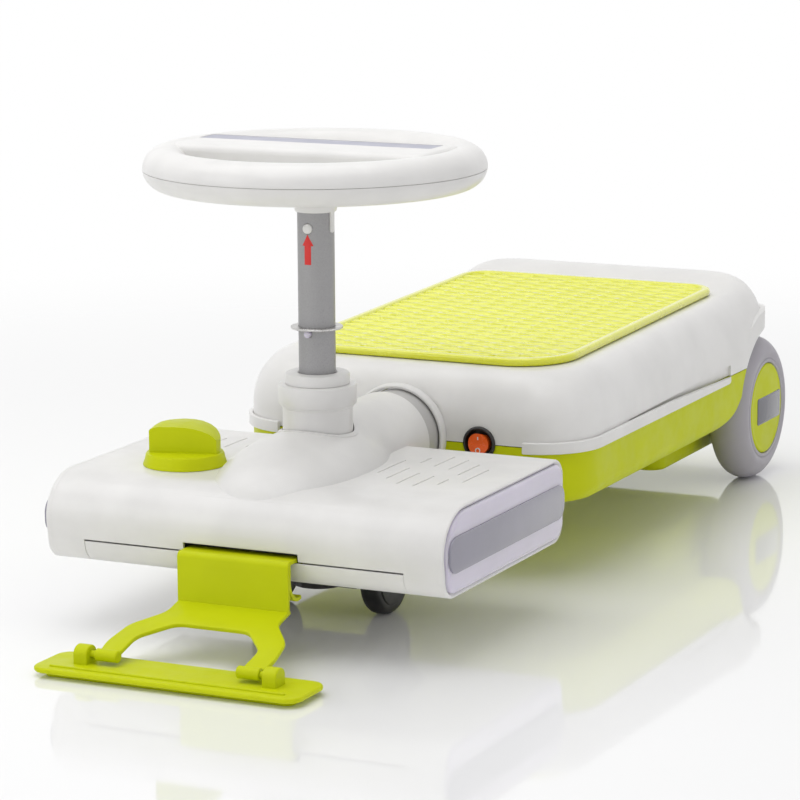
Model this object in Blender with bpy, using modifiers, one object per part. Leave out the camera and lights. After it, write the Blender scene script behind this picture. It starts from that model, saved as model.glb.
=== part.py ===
"""Ride-on floor sweeper toy: a steered sweeper head with lit end caps, a ride-on body with a ribbed deck on two
large rear wheels, and a hooked-on mop.

Sizes are in millimetres and become metres through MM. In this file the sweeper faces -Y, +Z is up, the steering
column's axis is at X = Y = 0 and the floor at Z = 0. Left is -X, as a viewer in front of the sweeper sees it. An
empty moves everything so that the finished object's origin is the bottom centre of its box.
"""

import math

import bmesh
import bpy
from mathutils import Matrix, Vector

MM = 0.001
GAP = 0.3  # clearance between pieces that touch or slide
WALL = 3.0  # wall of the moulded casings

# Steering wheel and column
WHEEL_RADIUS = 150.0
WHEEL_MID_Z = 400.0
RIM_HALF_THICKNESS = 19.0
RIM_WIDTH = 40.0
RIM_ROUNDING = 15.0
PLATE_HALF_DEPTH = 42.0
COLUMN_RADIUS = 16.25
COLUMN_WALL = 1.5
COLUMN_BOTTOM_Z = 50.3
COLUMN_IN_WHEEL = 14.0
HUB_HEIGHT = 18.0
BUTTON_Z = 344.0
BUTTON_RADIUS = 4.5
BUTTON_TRAVEL = 3.5
WASHER_Z = 257.0
WASHER_RADIUS = 23.0
WASHER_THICKNESS = 2.0
STOP_RADIUS = 3.0
BOLT_Z = 66.0
BOLT_RADIUS = 3.0
BOLT_HEAD_RADIUS = 5.2
BOLT_HEAD_HEIGHT = 4.0

# Collar round the column
COLLAR_SLEEVE_RADIUS = 31.0
COLLAR_BAND_RADIUS = 34.75
COLLAR_BAND_Z = 190.0
COLLAR_TOP_Z = 208.0
COLLAR_BOTTOM_Z = 152.0
COLLAR_RING_RADIUS = 28.5
COLLAR_RING_HEIGHT = 10.0
BUSHING_WALL = 3.5
HEAD_TUBE_WALL = 5.5

# Sweeper head
HEAD_HALF_WIDTH = 185.0
HEAD_FRONT_Y = -155.0
HEAD_REAR_Y = 105.0
HEAD_BOTTOM_Z = 62.0
HEAD_TOP_Z = 138.0
HEAD_PARTING_Z = 84.0
HEAD_NOSE_Z = 100.0
HEAD_NOSE_DEPTH = 45.0
HEAD_REAR_ROUNDING = 12.0
STRIP_HALF_WIDTH = 153.0
LENS_DEPTH = 8.0
PANEL_THICKNESS = 1.3
WELL_RADIUS = 92.0
DOME_CENTRE = (0.0, -30.0, 120.0)
DOME_RADII = (64.0, 114.0, 50.0)
HOOD_BLEND = 14  # how sharply the dome runs into the neck: a larger value is sharper
NECK_RADIUS = 45.0
NECK_Z = 131.0
NECK_END_Y = 136.0
KNOB_X = -101.5
KNOB_Y = -59.0
KNOB_RADIUS = 37.0
KNOB_BASE_HEIGHT = 11.0
KNOB_GRIP_RADIUS = 31.0
KNOB_GRIP_HEIGHT = 23.0
KNOB_GRIP_BACK = 9.0  # its flat back, behind the knob's axis
KNOB_STEM_RADIUS = 4.0

# Steered front wheels
FRONT_WHEEL_RADIUS = 37.0
FRONT_WHEEL_WIDTH = 20.0
FRONT_WHEEL_X = 54.0
FRONT_AXLE_Y = 22.0
FRONT_AXLE_RADIUS = 4.0
FORK_HALF_WIDTH = 40.0
FORK_BOSS_RADIUS = 24.0

# Neck and spar
SPAR_RADIUS = 17.0
SPAR_WALL = 3.0
SPAR_END_Y = 306.0
NECK_RING_LENGTH = 8.0
CLAMP_HALF_WIDTH = 30.0
CLAMP_LENGTH = 65.0

# Ride-on body
BODY_HALF_WIDTH = 175.5
BODY_FRONT_Y = 167.0
BODY_REAR_Y = 728.0
BODY_BOTTOM_Z = 74.0
BODY_PARTING_Z = 128.0
BODY_CORNER = 58.0
BODY_SHOULDER_Z = 143.0
DECK_FRONT_Y = 204.0
DECK_FRONT_Z = 193.0
DECK_SLOPE = 0.0223
DECK_HALF_WIDTH = 144.0
DECK_REAR_Y = 692.0
DECK_CORNER = 46.0
TAIL_RISE = 11.5  # height of the raised rear edge over the deck
BUMPER_THICKNESS = 4.5
BUMPER_HEIGHT = 11.0
BUMPER_START = -83.0  # where the bumper begins on the front corner's arc, in degrees from straight sideways
BUMPER_END_Y = 576.0

# Deck pad
PAD_HALF_WIDTH = 139.0
PAD_FRONT_Y = 209.0
PAD_REAR_Y = 638.0
PAD_HEIGHT = 5.0
PAD_CORNER = 42.0
PAD_RIM = 9.0
PAD_RIB_COUNT = 30

# Rear wheels and drive
REAR_WHEEL_RADIUS = 74.5
REAR_WHEEL_INNER_X = 131.0
REAR_WHEEL_OUTER_X = 174.0
REAR_AXLE_Y = 694.0
REAR_AXLE_RADIUS = 5.0
HUBCAP_RADIUS = 47.0
HUBCAP_DEPTH = 6.0
HAUNCH_CENTRE = (530.0, 138.0)  # (Y, Z) of the lower shell's rounded end in front of each rear wheel
HAUNCH_RADII = (100.0, 63.0)
COVER_HALF_WIDTH = 118.0
COVER_FRONT_Y = 533.0
COVER_REAR_Y = 725.0
COVER_BOTTOM_Z = 32.0
COVER_TAPER = 6.0
COVER_CORNER = 16.0
GEARBOX_INNER_X = 70.0
GEARBOX_FRONT = 41.0  # from the rear axle to the gearbox's front
GEARBOX_ABOVE_AXLE = 26.0
MOTOR_RADIUS = 17.0
MOTOR_LENGTH = 58.0

# Electrics
BATTERY_SIZE = (110.0, 120.0, 65.0)
BATTERY_FRONT_Y = 325.0
BOARD_SIZE = (90.0, 80.0, 1.6)
BOARD_FRONT_Y = 470.0
SOCKET_X = -60.0
SOCKET_Z = 100.0
SOCKET_RADIUS = 6.5
SOCKET_FLANGE = 3.0
SOCKET_LENGTH = 14.0
SOCKET_BORE = 2.75

# Rocker switch
ROCKER_X = 81.0
ROCKER_Z = 128.5
BEZEL_RADIUS = 16.0
BEZEL_THICKNESS = 2.5
SWITCH_RADIUS = 13.5
SWITCH_DEPTH = 24.0
ROCKER_HALF_WIDTH = 6.2
ROCKER_HALF_HEIGHT = 9.0
ROCKER_SWING = 1.8  # room above and below the rocker for its tilt

# Mop
PLATE_HALF_WIDTH = 125.0
PLATE_FORWARD = 32.0  # the plate's edges from its cross axis
PLATE_BACKWARD = 28.0
PLATE_THICKNESS = 9.0
PLATE_CORNER = 14.0
MOP_REACH = 105.0  # from the head's front to the mop's cross axis
MOP_AXLE_Z = 17.0
MOP_PIN_RADIUS = 3.0
LUG_INNER_X = 82.0
LUG_OUTER_X = 95.0
LUG_HALF_DEPTH = 9.0
BARREL_INNER_X = 54.0
BARREL_OUTER_X = 75.0
BARREL_RADIUS = 6.0
ARM_HALF_WIDTH = 53.0
ARM_STANDOFF = 13.0
ARM_BEND_Z = 42.0
ARM_THICKNESS = 3.3
HOOK_DEPTH = 19.0
HOOK_TAB_LENGTH = 9.0
CURL_RADII = (17.0, 20.0)

# Worked out from the sizes above
MOP_AXLE_Y = HEAD_FRONT_Y - MOP_REACH
PLATE_FRONT_Y = MOP_AXLE_Y - PLATE_FORWARD
PLATE_REAR_Y = MOP_AXLE_Y + PLATE_BACKWARD
ARM_FRONT_Y = HEAD_FRONT_Y - ARM_STANDOFF
HOOK_BACK_Y = HEAD_FRONT_Y + HOOK_DEPTH
CENTRE_Y = (PLATE_FRONT_Y + REAR_AXLE_Y + REAR_WHEEL_RADIUS) / 2
RIM_BOTTOM_Z = WHEEL_MID_Z - RIM_HALF_THICKNESS
RIM_INNER_RADIUS = WHEEL_RADIUS - RIM_WIDTH
COLUMN_BORE = COLUMN_RADIUS - COLUMN_WALL
COLUMN_CLEAR = COLUMN_RADIUS + GAP
BUSHING_RADIUS = COLUMN_CLEAR + BUSHING_WALL
HEAD_TUBE_BORE = BUSHING_RADIUS + GAP
HEAD_TUBE_RADIUS = HEAD_TUBE_BORE + HEAD_TUBE_WALL
WELL_ROOF_Z = HEAD_PARTING_Z - 1.0
WELL_TOP_Z = WELL_ROOF_Z + WALL
STRIP_TOP_Z = HEAD_PARTING_Z - 1.1
HOOK_Z = STRIP_TOP_Z + GAP
HOOK_AXIS_Y = HEAD_FRONT_Y + 8.5
HOOK_AXIS_Z = HOOK_Z + ARM_THICKNESS / 2
LENS_START_X = HEAD_HALF_WIDTH + GAP
NECK_SLEEVE_RADIUS = NECK_RADIUS - 2.5
NECK_RING_RADIUS = NECK_RADIUS + 3.0
ARCH_RADIUS = REAR_WHEEL_RADIUS + 9.5
ARCH_INNER_X = REAR_WHEEL_INNER_X - 6.0
GEARBOX_OUTER_X = COVER_HALF_WIDTH - WALL - COVER_TAPER - 1.0
GEARBOX_REAR_Y = COVER_REAR_Y - WALL - COVER_TAPER - COVER_CORNER / 2
STOP_Z = WASHER_Z - GAP - STOP_RADIUS
FRONT_CAP_X = FRONT_WHEEL_X + FRONT_WHEEL_WIDTH / 2 + GAP
ROUND = 24  # sides of a middling round piece
ALONG_X = (math.radians(90), 0.0, math.radians(90))  # turns a drawing plane's X, Y, Z to the object's Y, Z, X
AXIS_X = (0.0, math.radians(90), 0.0)
AXIS_Y = (math.radians(-90), 0.0, 0.0)
AXIS_Z = (0.0, 0.0, 0.0)

PIVOTS = {
    "chassis": (0.0, 0.0, 0.0),
    "steering": (0.0, 0.0, 0.0),
    "snap_button": (0.0, -COLUMN_RADIUS, BUTTON_Z),
    "front_wheel_left": (-FRONT_WHEEL_X, FRONT_AXLE_Y, FRONT_WHEEL_RADIUS),
    "front_wheel_right": (FRONT_WHEEL_X, FRONT_AXLE_Y, FRONT_WHEEL_RADIUS),
    "rear_wheel_left": (-REAR_WHEEL_INNER_X, REAR_AXLE_Y, REAR_WHEEL_RADIUS),
    "rear_wheel_right": (REAR_WHEEL_INNER_X, REAR_AXLE_Y, REAR_WHEEL_RADIUS),
    "mode_knob": (KNOB_X, KNOB_Y, HEAD_TOP_Z),
    "power_rocker": (ROCKER_X, BODY_FRONT_Y + 2.0, ROCKER_Z),
    "mop_arm": (0.0, HOOK_AXIS_Y, HOOK_AXIS_Z),
    "mop_plate": (0.0, MOP_AXLE_Y, MOP_AXLE_Z),
}

PAINTS = {
    "white": ((0.80, 0.79, 0.77), 0.35, 0.0),
    "lime": ((0.56, 0.66, 0.02), 0.4, 0.0),
    "grey_tyre": ((0.36, 0.34, 0.40), 0.6, 0.0),
    "steel": ((0.45, 0.45, 0.46), 0.4, 0.9),
    "black": ((0.02, 0.02, 0.02), 0.5, 0.0),
    "orange": ((0.85, 0.15, 0.03), 0.4, 0.0),
    "lens": ((0.72, 0.70, 0.80), 0.15, 0.0),
    "dark_panel": ((0.18, 0.17, 0.21), 0.2, 0.0),
    "board": ((0.03, 0.22, 0.09), 0.5, 0.0),
    "bushing": ((0.70, 0.68, 0.62), 0.5, 0.0),
}


# ---- scene, bodies and materials -----------------------------------------------------------------


def clear_scene():
    for obj in list(bpy.data.objects):
        bpy.data.objects.remove(obj, do_unlink=True)


def new_collection(name):
    collection = bpy.data.collections.new(name)
    bpy.context.scene.collection.children.link(collection)
    return collection


def metres(values):
    return Vector(values) * MM


def make_empty(name, position, parent=None):
    empty = bpy.data.objects.new(name, None)
    empty.location = metres(position)
    empty.parent = parent
    PARTS.objects.link(empty)
    return empty


def make_material(name):
    colour, roughness, metallic = PAINTS[name]
    material = bpy.data.materials.new(name)
    material.use_nodes = True
    shader = material.node_tree.nodes["Principled BSDF"]
    shader.inputs["Base Color"].default_value = (*colour, 1.0)
    shader.inputs["Roughness"].default_value = roughness
    shader.inputs["Metallic"].default_value = metallic
    return material


clear_scene()
PARTS = new_collection("ride_on_sweeper")
CUTTERS = new_collection("cutters")
ORIGIN = make_empty("sweeper_origin", (0.0, -CENTRE_Y, 0.0))
BODIES = {name: make_empty(name + "_axis", position, ORIGIN) for name, position in PIVOTS.items()}
MATERIALS = {name: make_material(name) for name in PAINTS}


def place(name, mesh, body, paint, at, turn=AXIS_Z):
    """Adds a piece to its body, or a cutter when it has no paint. at is its own origin in the object's frame."""
    obj = bpy.data.objects.new(name, mesh)
    obj.parent = BODIES[body]
    obj.location = metres(at) - metres(PIVOTS[body])
    obj.rotation_euler = turn
    if paint:
        mesh.materials.append(MATERIALS[paint])
        PARTS.objects.link(obj)
    else:
        CUTTERS.objects.link(obj)
        obj.hide_render = True
        obj.display_type = "WIRE"
    return obj


def combine(obj, other, operation):
    modifier = obj.modifiers.new(operation.lower() + "_" + other.name, "BOOLEAN")
    modifier.operation = operation
    modifier.object = other
    modifier.solver = "EXACT"
    return obj


def cut(obj, *others):
    for other in others:
        combine(obj, other, "DIFFERENCE")
    return obj


def join(obj, *others):
    for other in others:
        combine(obj, other, "UNION")
    return obj


def keep_inside(obj, other):
    return combine(obj, other, "INTERSECT")


def mesh_from(bm, smooth):
    mesh = bpy.data.meshes.new("shape")
    bmesh.ops.recalc_face_normals(bm, faces=bm.faces)
    if bm.calc_volume(signed=True) < 0.0:
        bmesh.ops.reverse_faces(bm, faces=bm.faces)
    bm.to_mesh(mesh)
    bm.free()
    if smooth:
        mesh.shade_smooth()
        mesh.set_sharp_from_angle(angle=math.radians(40))
    return mesh


# ---- shapes --------------------------------------------------------------------------------------


def box(name, low, high, body="chassis", paint=None):
    """A block between two opposite corners."""
    size = metres(high) - metres(low)
    bm = bmesh.new()
    bmesh.ops.create_cube(bm, size=1.0)
    bmesh.ops.scale(bm, vec=size, verts=bm.verts)
    middle = [(a + b) / 2 for a, b in zip(low, high)]
    return place(name, mesh_from(bm, False), body, paint, middle)


def rod(name, radius, length, at, turn=AXIS_Z, body="chassis", paint=None, sides=ROUND, end_radius=None):
    """A cylinder, or a cone, centred on a point."""
    bm = bmesh.new()
    bmesh.ops.create_cone(
        bm,
        cap_ends=True,
        segments=sides,
        radius1=radius * MM,
        radius2=(end_radius or radius) * MM,
        depth=length * MM,
    )
    return place(name, mesh_from(bm, True), body, paint, at, turn)


def turned(name, profile, at, turn=AXIS_Z, body="chassis", paint=None, sides=ROUND):
    """A turned piece. Its profile is (radius, height) points, down the outside and back up the inside or axis."""
    closed = min(radius for radius, _ in profile) > 0
    mesh = bpy.data.meshes.new("profile")
    count = len(profile)
    edges = [(i, i + 1) for i in range(count - 1)]
    if closed:
        edges.append((count - 1, 0))
    mesh.from_pydata([(radius * MM, 0.0, height * MM) for radius, height in profile], edges, [])
    obj = place(name, mesh, body, paint, at, turn)
    screw = obj.modifiers.new("turn", "SCREW")
    screw.steps = sides
    screw.render_steps = sides
    screw.use_merge_vertices = True
    screw.merge_threshold = 0.00001
    screw.use_smooth_shade = True
    return obj


def tube(name, outer, inner, length, at, turn=AXIS_Z, body="chassis", paint=None, sides=ROUND):
    """A straight tube that starts at a point and runs along its axis."""
    profile = [(outer, length), (outer, 0.0), (inner, 0.0), (inner, length)]
    return turned(name, profile, at, turn, body, paint, sides)


def outline_mesh(outlines, thickness, smooth=False, edge=0.0):
    """A flat outline, with any holes drawn clockwise, filled and given a thickness and a rounded edge.

    It lies in XY, centred on Z = 0.
    """
    curve = bpy.data.curves.new("outline", "CURVE")
    curve.dimensions = "2D"
    curve.fill_mode = "BOTH"
    curve.extrude = (thickness / 2 - edge) * MM
    curve.bevel_depth = edge * MM
    curve.bevel_resolution = 2
    curve.offset = -edge * MM
    for points in outlines:
        spline = curve.splines.new("POLY")
        spline.points.add(len(points) - 1)
        for target, (x, y) in zip(spline.points, points):
            target.co = (x * MM, y * MM, 0.0, 1.0)
        spline.use_cyclic_u = True
    guide = bpy.data.objects.new("outline", curve)
    CUTTERS.objects.link(guide)
    graph = bpy.context.evaluated_depsgraph_get()
    mesh = bpy.data.meshes.new_from_object(guide.evaluated_get(graph))
    bpy.data.objects.remove(guide)
    bm = bmesh.new()
    bm.from_mesh(mesh)
    bmesh.ops.remove_doubles(bm, verts=bm.verts, dist=0.00001)
    bpy.data.meshes.remove(mesh)
    return mesh_from(bm, smooth)


def slab(name, outlines, thickness, at, turn=AXIS_Z, body="chassis", paint=None, smooth=False, edge=0.0):
    return place(name, outline_mesh(outlines, thickness, smooth, edge), body, paint, at, turn)


def loft(name, rings, body="chassis", paint=None, at=(0.0, 0.0, 0.0), sloping_end=False):
    """Skins a list of rings with equal numbers of points and caps both ends.

    A sloping end is capped in strips from each point to its mirror image across X, so that it can curve along Y.
    """
    bm = bmesh.new()
    loops = [[bm.verts.new(metres(point)) for point in ring] for ring in rings]
    for lower, upper in zip(loops, loops[1:]):
        for i, vert in enumerate(lower):
            following = (i + 1) % len(lower)
            bm.faces.new((vert, lower[following], upper[following], upper[i]))
    bm.faces.new(loops[0][::-1])
    last = loops[-1]
    if sloping_end:
        for i in range(len(last) // 2 - 1):
            bm.faces.new((last[i], last[i + 1], last[-2 - i], last[-1 - i]))
    else:
        bm.faces.new(last)
    return place(name, mesh_from(bm, True), body, paint, at)


def arc(centre, radii, start, end, steps):
    """Points on an ellipse from one angle to another, in degrees."""
    angles = [math.radians(start + (end - start) * i / steps) for i in range(steps + 1)]
    return [(centre[0] + radii[0] * math.cos(a), centre[1] + radii[1] * math.sin(a)) for a in angles]


def circle(radius, steps, centre=(0.0, 0.0)):
    return arc(centre, (radius, radius), 0, 360, steps)[:-1]


def rounded_rectangle(x0, x1, y0, y1, radius, steps=5):
    """A rectangle with round corners, anticlockwise from its right front corner."""
    corners = (
        (x1 - radius, y0 + radius, -90),
        (x1 - radius, y1 - radius, 0),
        (x0 + radius, y1 - radius, 90),
        (x0 + radius, y0 + radius, 180),
    )
    points = []
    for x, y, start in corners:
        points += arc((x, y), (radius, radius), start, start + 90, steps)
    return points


def both_sides(make):
    """Makes a piece on the left (-X) and on the right (+X)."""
    for side, sign in (("left", -1.0), ("right", 1.0)):
        make(side, sign)


# ---- steering wheel and column -------------------------------------------------------------------


def wheel_outlines(inset):
    """The rim's circle and the two finger openings, front and back, moved inwards by inset all round."""
    radius = RIM_INNER_RADIUS + inset
    chord = PLATE_HALF_DEPTH - inset
    reach = math.degrees(math.acos(chord / radius))
    outlines = [circle(WHEEL_RADIUS - inset, 36)]
    for middle in (-90, 90):
        outlines.append(arc((0.0, 0.0), (radius, radius), middle + reach, middle - reach, 12))
    return outlines


def steering_wheel():
    half = RIM_HALF_THICKNESS
    hollow = slab("wheel_hollow", wheel_outlines(12.0), 2 * (half - 4.0), (0.0, 0.0, WHEEL_MID_Z))
    edge = WHEEL_RADIUS + 10.0
    middle_gap = box(
        "wheel_parting",
        (-edge, -edge, WHEEL_MID_Z - GAP / 2),
        (edge, edge, WHEEL_MID_Z + GAP / 2),
    )
    for name, low, high in (
        ("wheel_upper_shell", -1.0, 0.0),
        ("wheel_lower_shell", 0.0, 1.0),
    ):
        shell = slab(
            name,
            wheel_outlines(0.0),
            2 * half,
            (0.0, 0.0, WHEEL_MID_Z),
            body="steering",
            paint="white",
            smooth=True,
            edge=RIM_ROUNDING,
        )
        remove = box(
            name + "_remove",
            (-edge, -edge, WHEEL_MID_Z + low * (half + 5.0)),
            (edge, edge, WHEEL_MID_Z + high * (half + 5.0)),
        )
        cut(shell, remove, middle_gap, hollow)
    bore = rod("wheel_bore", COLUMN_CLEAR, 30.0, (0.0, 0.0, RIM_BOTTOM_Z))
    cut(bpy.data.objects["wheel_lower_shell"], bore)


def wheel_hub():
    top = RIM_BOTTOM_Z - GAP
    profile = [
        (30.0, HUB_HEIGHT),
        (30.0, HUB_HEIGHT - 4.0),
        (24.0, HUB_HEIGHT - 8.0),
        (22.0, 0.0),
        (COLUMN_CLEAR, 0.0),
        (COLUMN_CLEAR, HUB_HEIGHT),
    ]
    turned("wheel_hub", profile, (0.0, 0.0, top - HUB_HEIGHT), body="steering", paint="white")


def steering_column():
    top = RIM_BOTTOM_Z + COLUMN_IN_WHEEL
    column = tube(
        "steering_column",
        COLUMN_RADIUS,
        COLUMN_BORE,
        top - COLUMN_BOTTOM_Z,
        (0.0, 0.0, COLUMN_BOTTOM_Z),
        body="steering",
        paint="steel",
    )
    wall_y = -COLUMN_RADIUS
    cut(
        column,
        rod("button_hole", BUTTON_RADIUS + GAP, 10.0, (0.0, wall_y, BUTTON_Z), AXIS_Y, sides=20),
        rod("stop_hole", STOP_RADIUS + GAP, 10.0, (0.0, wall_y, STOP_Z), AXIS_Y, sides=16),
        bolt_hole(),
    )


def bolt_hole():
    name = "bolt_hole"
    if name in bpy.data.objects:
        return bpy.data.objects[name]
    return rod(name, BOLT_RADIUS + GAP, 4 * FORK_BOSS_RADIUS, (0.0, 0.0, BOLT_Z), AXIS_X, sides=16)


def flanged_stud(name, radius, flange, reach, z, body, paint):
    """A stud that stands out of the column's front, held from inside by a flange against the bore."""
    seat = math.sqrt(COLUMN_BORE**2 - flange**2) - GAP
    back = seat - 1.8
    profile = [
        (0.0, COLUMN_RADIUS + reach - back),
        (radius - 0.8, COLUMN_RADIUS + reach - back),
        (radius, COLUMN_RADIUS + reach - back - 0.8),
        (radius, seat - back),
        (flange, seat - back),
        (flange, 0.0),
        (0.0, 0.0),
    ]
    turned(name, profile, (0.0, -back, z), (math.radians(90), 0.0, 0.0), body, paint, 20)
    return back


def column_fittings():
    back = flanged_stud("snap_button", BUTTON_RADIUS, 6.5, 2.0, BUTTON_Z, "snap_button", "white")
    front = -(back - BUTTON_TRAVEL - GAP)
    rear = math.sqrt(COLUMN_BORE**2 - 16.0) - GAP
    leaf = 1.2
    bottom = BUTTON_Z - 44.0
    outline = [
        (front, BUTTON_Z + 6.0),
        (front, bottom),
        (rear, bottom),
        (rear, BUTTON_Z + 6.0),
        (rear - leaf, BUTTON_Z + 6.0),
        (rear - leaf, bottom + leaf),
        (front + leaf, bottom + leaf),
        (front + leaf, BUTTON_Z + 6.0),
    ]
    slab("button_leaf_spring", [outline], 8.0, (0.0, 0.0, 0.0), ALONG_X, "steering", "steel")
    flanged_stud("washer_stop", STOP_RADIUS, 5.0, 4.0, STOP_Z, "steering", "lens")
    tube(
        "column_washer",
        WASHER_RADIUS,
        COLUMN_CLEAR,
        WASHER_THICKNESS,
        (0.0, 0.0, WASHER_Z),
        body="steering",
        paint="steel",
    )


def collar():
    profile = [
        (COLLAR_BAND_RADIUS - 1.5, COLLAR_TOP_Z),
        (COLLAR_BAND_RADIUS, COLLAR_TOP_Z - 1.5),
        (COLLAR_BAND_RADIUS, COLLAR_BAND_Z),
        (COLLAR_SLEEVE_RADIUS, COLLAR_BAND_Z),
        (COLLAR_SLEEVE_RADIUS, COLLAR_BOTTOM_Z),
        (HEAD_TUBE_RADIUS + GAP, COLLAR_BOTTOM_Z),
        (HEAD_TUBE_RADIUS + GAP, COLLAR_BAND_Z - WALL),
        (HEAD_TUBE_BORE, COLLAR_BAND_Z - WALL),
        (HEAD_TUBE_BORE, COLLAR_TOP_Z),
    ]
    turned("column_collar", profile, (0.0, 0.0, 0.0), paint="white")
    height = COLLAR_RING_HEIGHT - GAP
    ring = [
        (COLLAR_RING_RADIUS - 1.5, height),
        (COLLAR_RING_RADIUS, height - 1.5),
        (COLLAR_RING_RADIUS, 0.0),
        (COLUMN_CLEAR + GAP, 0.0),
        (COLUMN_CLEAR + GAP, height),
    ]
    turned("collar_ring", ring, (0.0, 0.0, COLLAR_TOP_Z + GAP), paint="white")
    for name, z, length in (
        ("upper_bushing", COLLAR_BAND_Z, COLLAR_TOP_Z - COLLAR_BAND_Z),
        ("lower_bushing", WELL_TOP_Z + GAP, 18.0),
    ):
        tube(name, BUSHING_RADIUS, COLUMN_CLEAR, length, (0.0, 0.0, z), paint="bushing")


# ---- steered front wheels ------------------------------------------------------------------------


def steering_fork():
    bottom = FRONT_WHEEL_RADIUS - 10.0
    boss_top = WELL_ROOF_Z - GAP
    fork = box(
        "steering_fork",
        (-FORK_HALF_WIDTH, -8.0, bottom),
        (FORK_HALF_WIDTH, FRONT_AXLE_Y + 14.0, COLUMN_BOTTOM_Z + 6.0),
        "steering",
        "black",
    )
    boss = rod(
        "fork_boss",
        FORK_BOSS_RADIUS,
        boss_top - bottom,
        (0.0, 0.0, (boss_top + bottom) / 2),
    )
    socket_depth = boss_top - COLUMN_BOTTOM_Z + GAP
    socket = rod(
        "fork_socket",
        COLUMN_CLEAR,
        socket_depth + 10.0,
        (0.0, 0.0, COLUMN_BOTTOM_Z - GAP + (socket_depth + 10.0) / 2),
    )
    axle_hole = rod(
        "fork_axle_hole",
        FRONT_AXLE_RADIUS + GAP,
        3 * FORK_HALF_WIDTH,
        (0.0, FRONT_AXLE_Y, FRONT_WHEEL_RADIUS),
        AXIS_X,
        sides=20,
    )
    join(fork, boss)
    cut(fork, socket, axle_hole, bolt_hole())


def fork_bolt():
    side = FORK_BOSS_RADIUS + GAP
    end = 2 * (side + BOLT_HEAD_HEIGHT) + 1.0
    profile = [
        (0.0, end),
        (BOLT_RADIUS, end),
        (BOLT_RADIUS, BOLT_HEAD_HEIGHT),
        (BOLT_HEAD_RADIUS, BOLT_HEAD_HEIGHT),
        (BOLT_HEAD_RADIUS, 0.0),
        (0.0, 0.0),
    ]
    turned("fork_bolt", profile, (-side - BOLT_HEAD_HEIGHT, 0.0, BOLT_Z), AXIS_X, "steering", "steel", 12)
    nut_at = (side + BOLT_HEAD_HEIGHT / 2, 0.0, BOLT_Z)
    nut = rod("fork_nut", BOLT_HEAD_RADIUS, BOLT_HEAD_HEIGHT, nut_at, AXIS_X, "steering", "steel", 6)
    cut(nut, bolt_hole())


def front_wheel(side, sign):
    half = FRONT_WHEEL_WIDTH / 2
    bore = FRONT_AXLE_RADIUS + GAP
    profile = [
        (FRONT_WHEEL_RADIUS - 5.0, half),
        (FRONT_WHEEL_RADIUS - 1.0, half - 3.0),
        (FRONT_WHEEL_RADIUS, 0.0),
        (FRONT_WHEEL_RADIUS - 1.0, 3.0 - half),
        (FRONT_WHEEL_RADIUS - 5.0, -half),
        (bore, -half),
        (bore, half),
    ]
    name = "front_wheel_" + side
    turned(name, profile, PIVOTS[name], AXIS_X, name, "black", 28)
    cap = [(0.0, 5.0), (6.5, 5.0), (8.0, 3.5), (8.0, 0.0), (bore, 0.0), (bore, 3.5), (0.0, 3.5)]
    turn = (0.0, math.radians(90) * sign, 0.0)
    at = (sign * FRONT_CAP_X, FRONT_AXLE_Y, FRONT_WHEEL_RADIUS)
    turned("front_axle_cap_" + side, cap, at, turn, "steering", "black", 16)


def front_axle():
    length = 2 * (FRONT_CAP_X + 3.0)
    at = (0.0, FRONT_AXLE_Y, FRONT_WHEEL_RADIUS)
    rod("front_axle", FRONT_AXLE_RADIUS, length, at, AXIS_X, "steering", "steel", 20)


# ---- sweeper head --------------------------------------------------------------------------------


def head_outline(inset=0.0):
    """The head's side view as (Y, Z) points, moved inwards by inset."""
    front = HEAD_FRONT_Y + inset
    rear = HEAD_REAR_Y - inset
    top = HEAD_TOP_Z - inset
    bottom = HEAD_BOTTOM_Z + inset
    nose_y = HEAD_FRONT_Y + HEAD_NOSE_DEPTH
    rounding = max(HEAD_REAR_ROUNDING - inset, 2.0)
    points = arc(
        (nose_y, HEAD_NOSE_Z),
        (HEAD_NOSE_DEPTH - inset, top - HEAD_NOSE_Z),
        90,
        180,
        7,
    )
    chin = 18.0
    points += [(front + 3.5, HEAD_NOSE_Z - 14.0)]
    points += arc((front + 6.0 + chin, bottom + chin), (chin, chin), 190, 270, 4)
    points += arc((rear - rounding, bottom + rounding), (rounding, rounding), 270, 360, 3)
    points += arc((rear - rounding, top - rounding), (rounding, rounding), 0, 90, 4)
    return points


def head_block(name, inset, half_width, paint=None):
    return slab(
        name,
        [head_outline(inset)],
        2 * half_width,
        (0.0, 0.0, 0.0),
        ALONG_X,
        paint=paint,
        smooth=True,
    )


def beside_parting(name, above):
    """A block that holds all of the head on one side of its parting plane."""
    reach = 300.0
    if above:
        return box(name, (-reach, -reach, HEAD_PARTING_Z - GAP / 2), (reach, reach, reach))
    return box(name, (-reach, -reach, -10.0), (reach, reach, HEAD_PARTING_Z + GAP / 2))


def hood_reach(angle, y, middle_z, inset):
    """How far the hood's surface is from its middle line in one direction: the farther of the dome and the neck."""
    along, up = math.cos(angle), math.sin(angle)
    dome = math.sqrt(max(1.0 - ((y - DOME_CENTRE[1]) / (DOME_RADII[1] - inset)) ** 2, 1e-6))
    half_width = (DOME_RADII[0] - inset) * dome
    half_height = (DOME_RADII[2] - inset) * dome
    offset = (middle_z - DOME_CENTRE[2]) / half_height
    reach = 0.0
    if abs(offset) < 1.0:
        a = (along / half_width) ** 2 + (up / half_height) ** 2
        b = offset * up / half_height
        reach = (math.sqrt(b * b - a * (offset * offset - 1.0)) - b) / a
    radius = NECK_RADIUS - inset
    neck = radius if y >= 0.0 else math.sqrt(max(radius * radius - y * y, 0.0))
    return (reach**HOOD_BLEND + neck**HOOD_BLEND) ** (1.0 / HOOD_BLEND)


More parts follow.
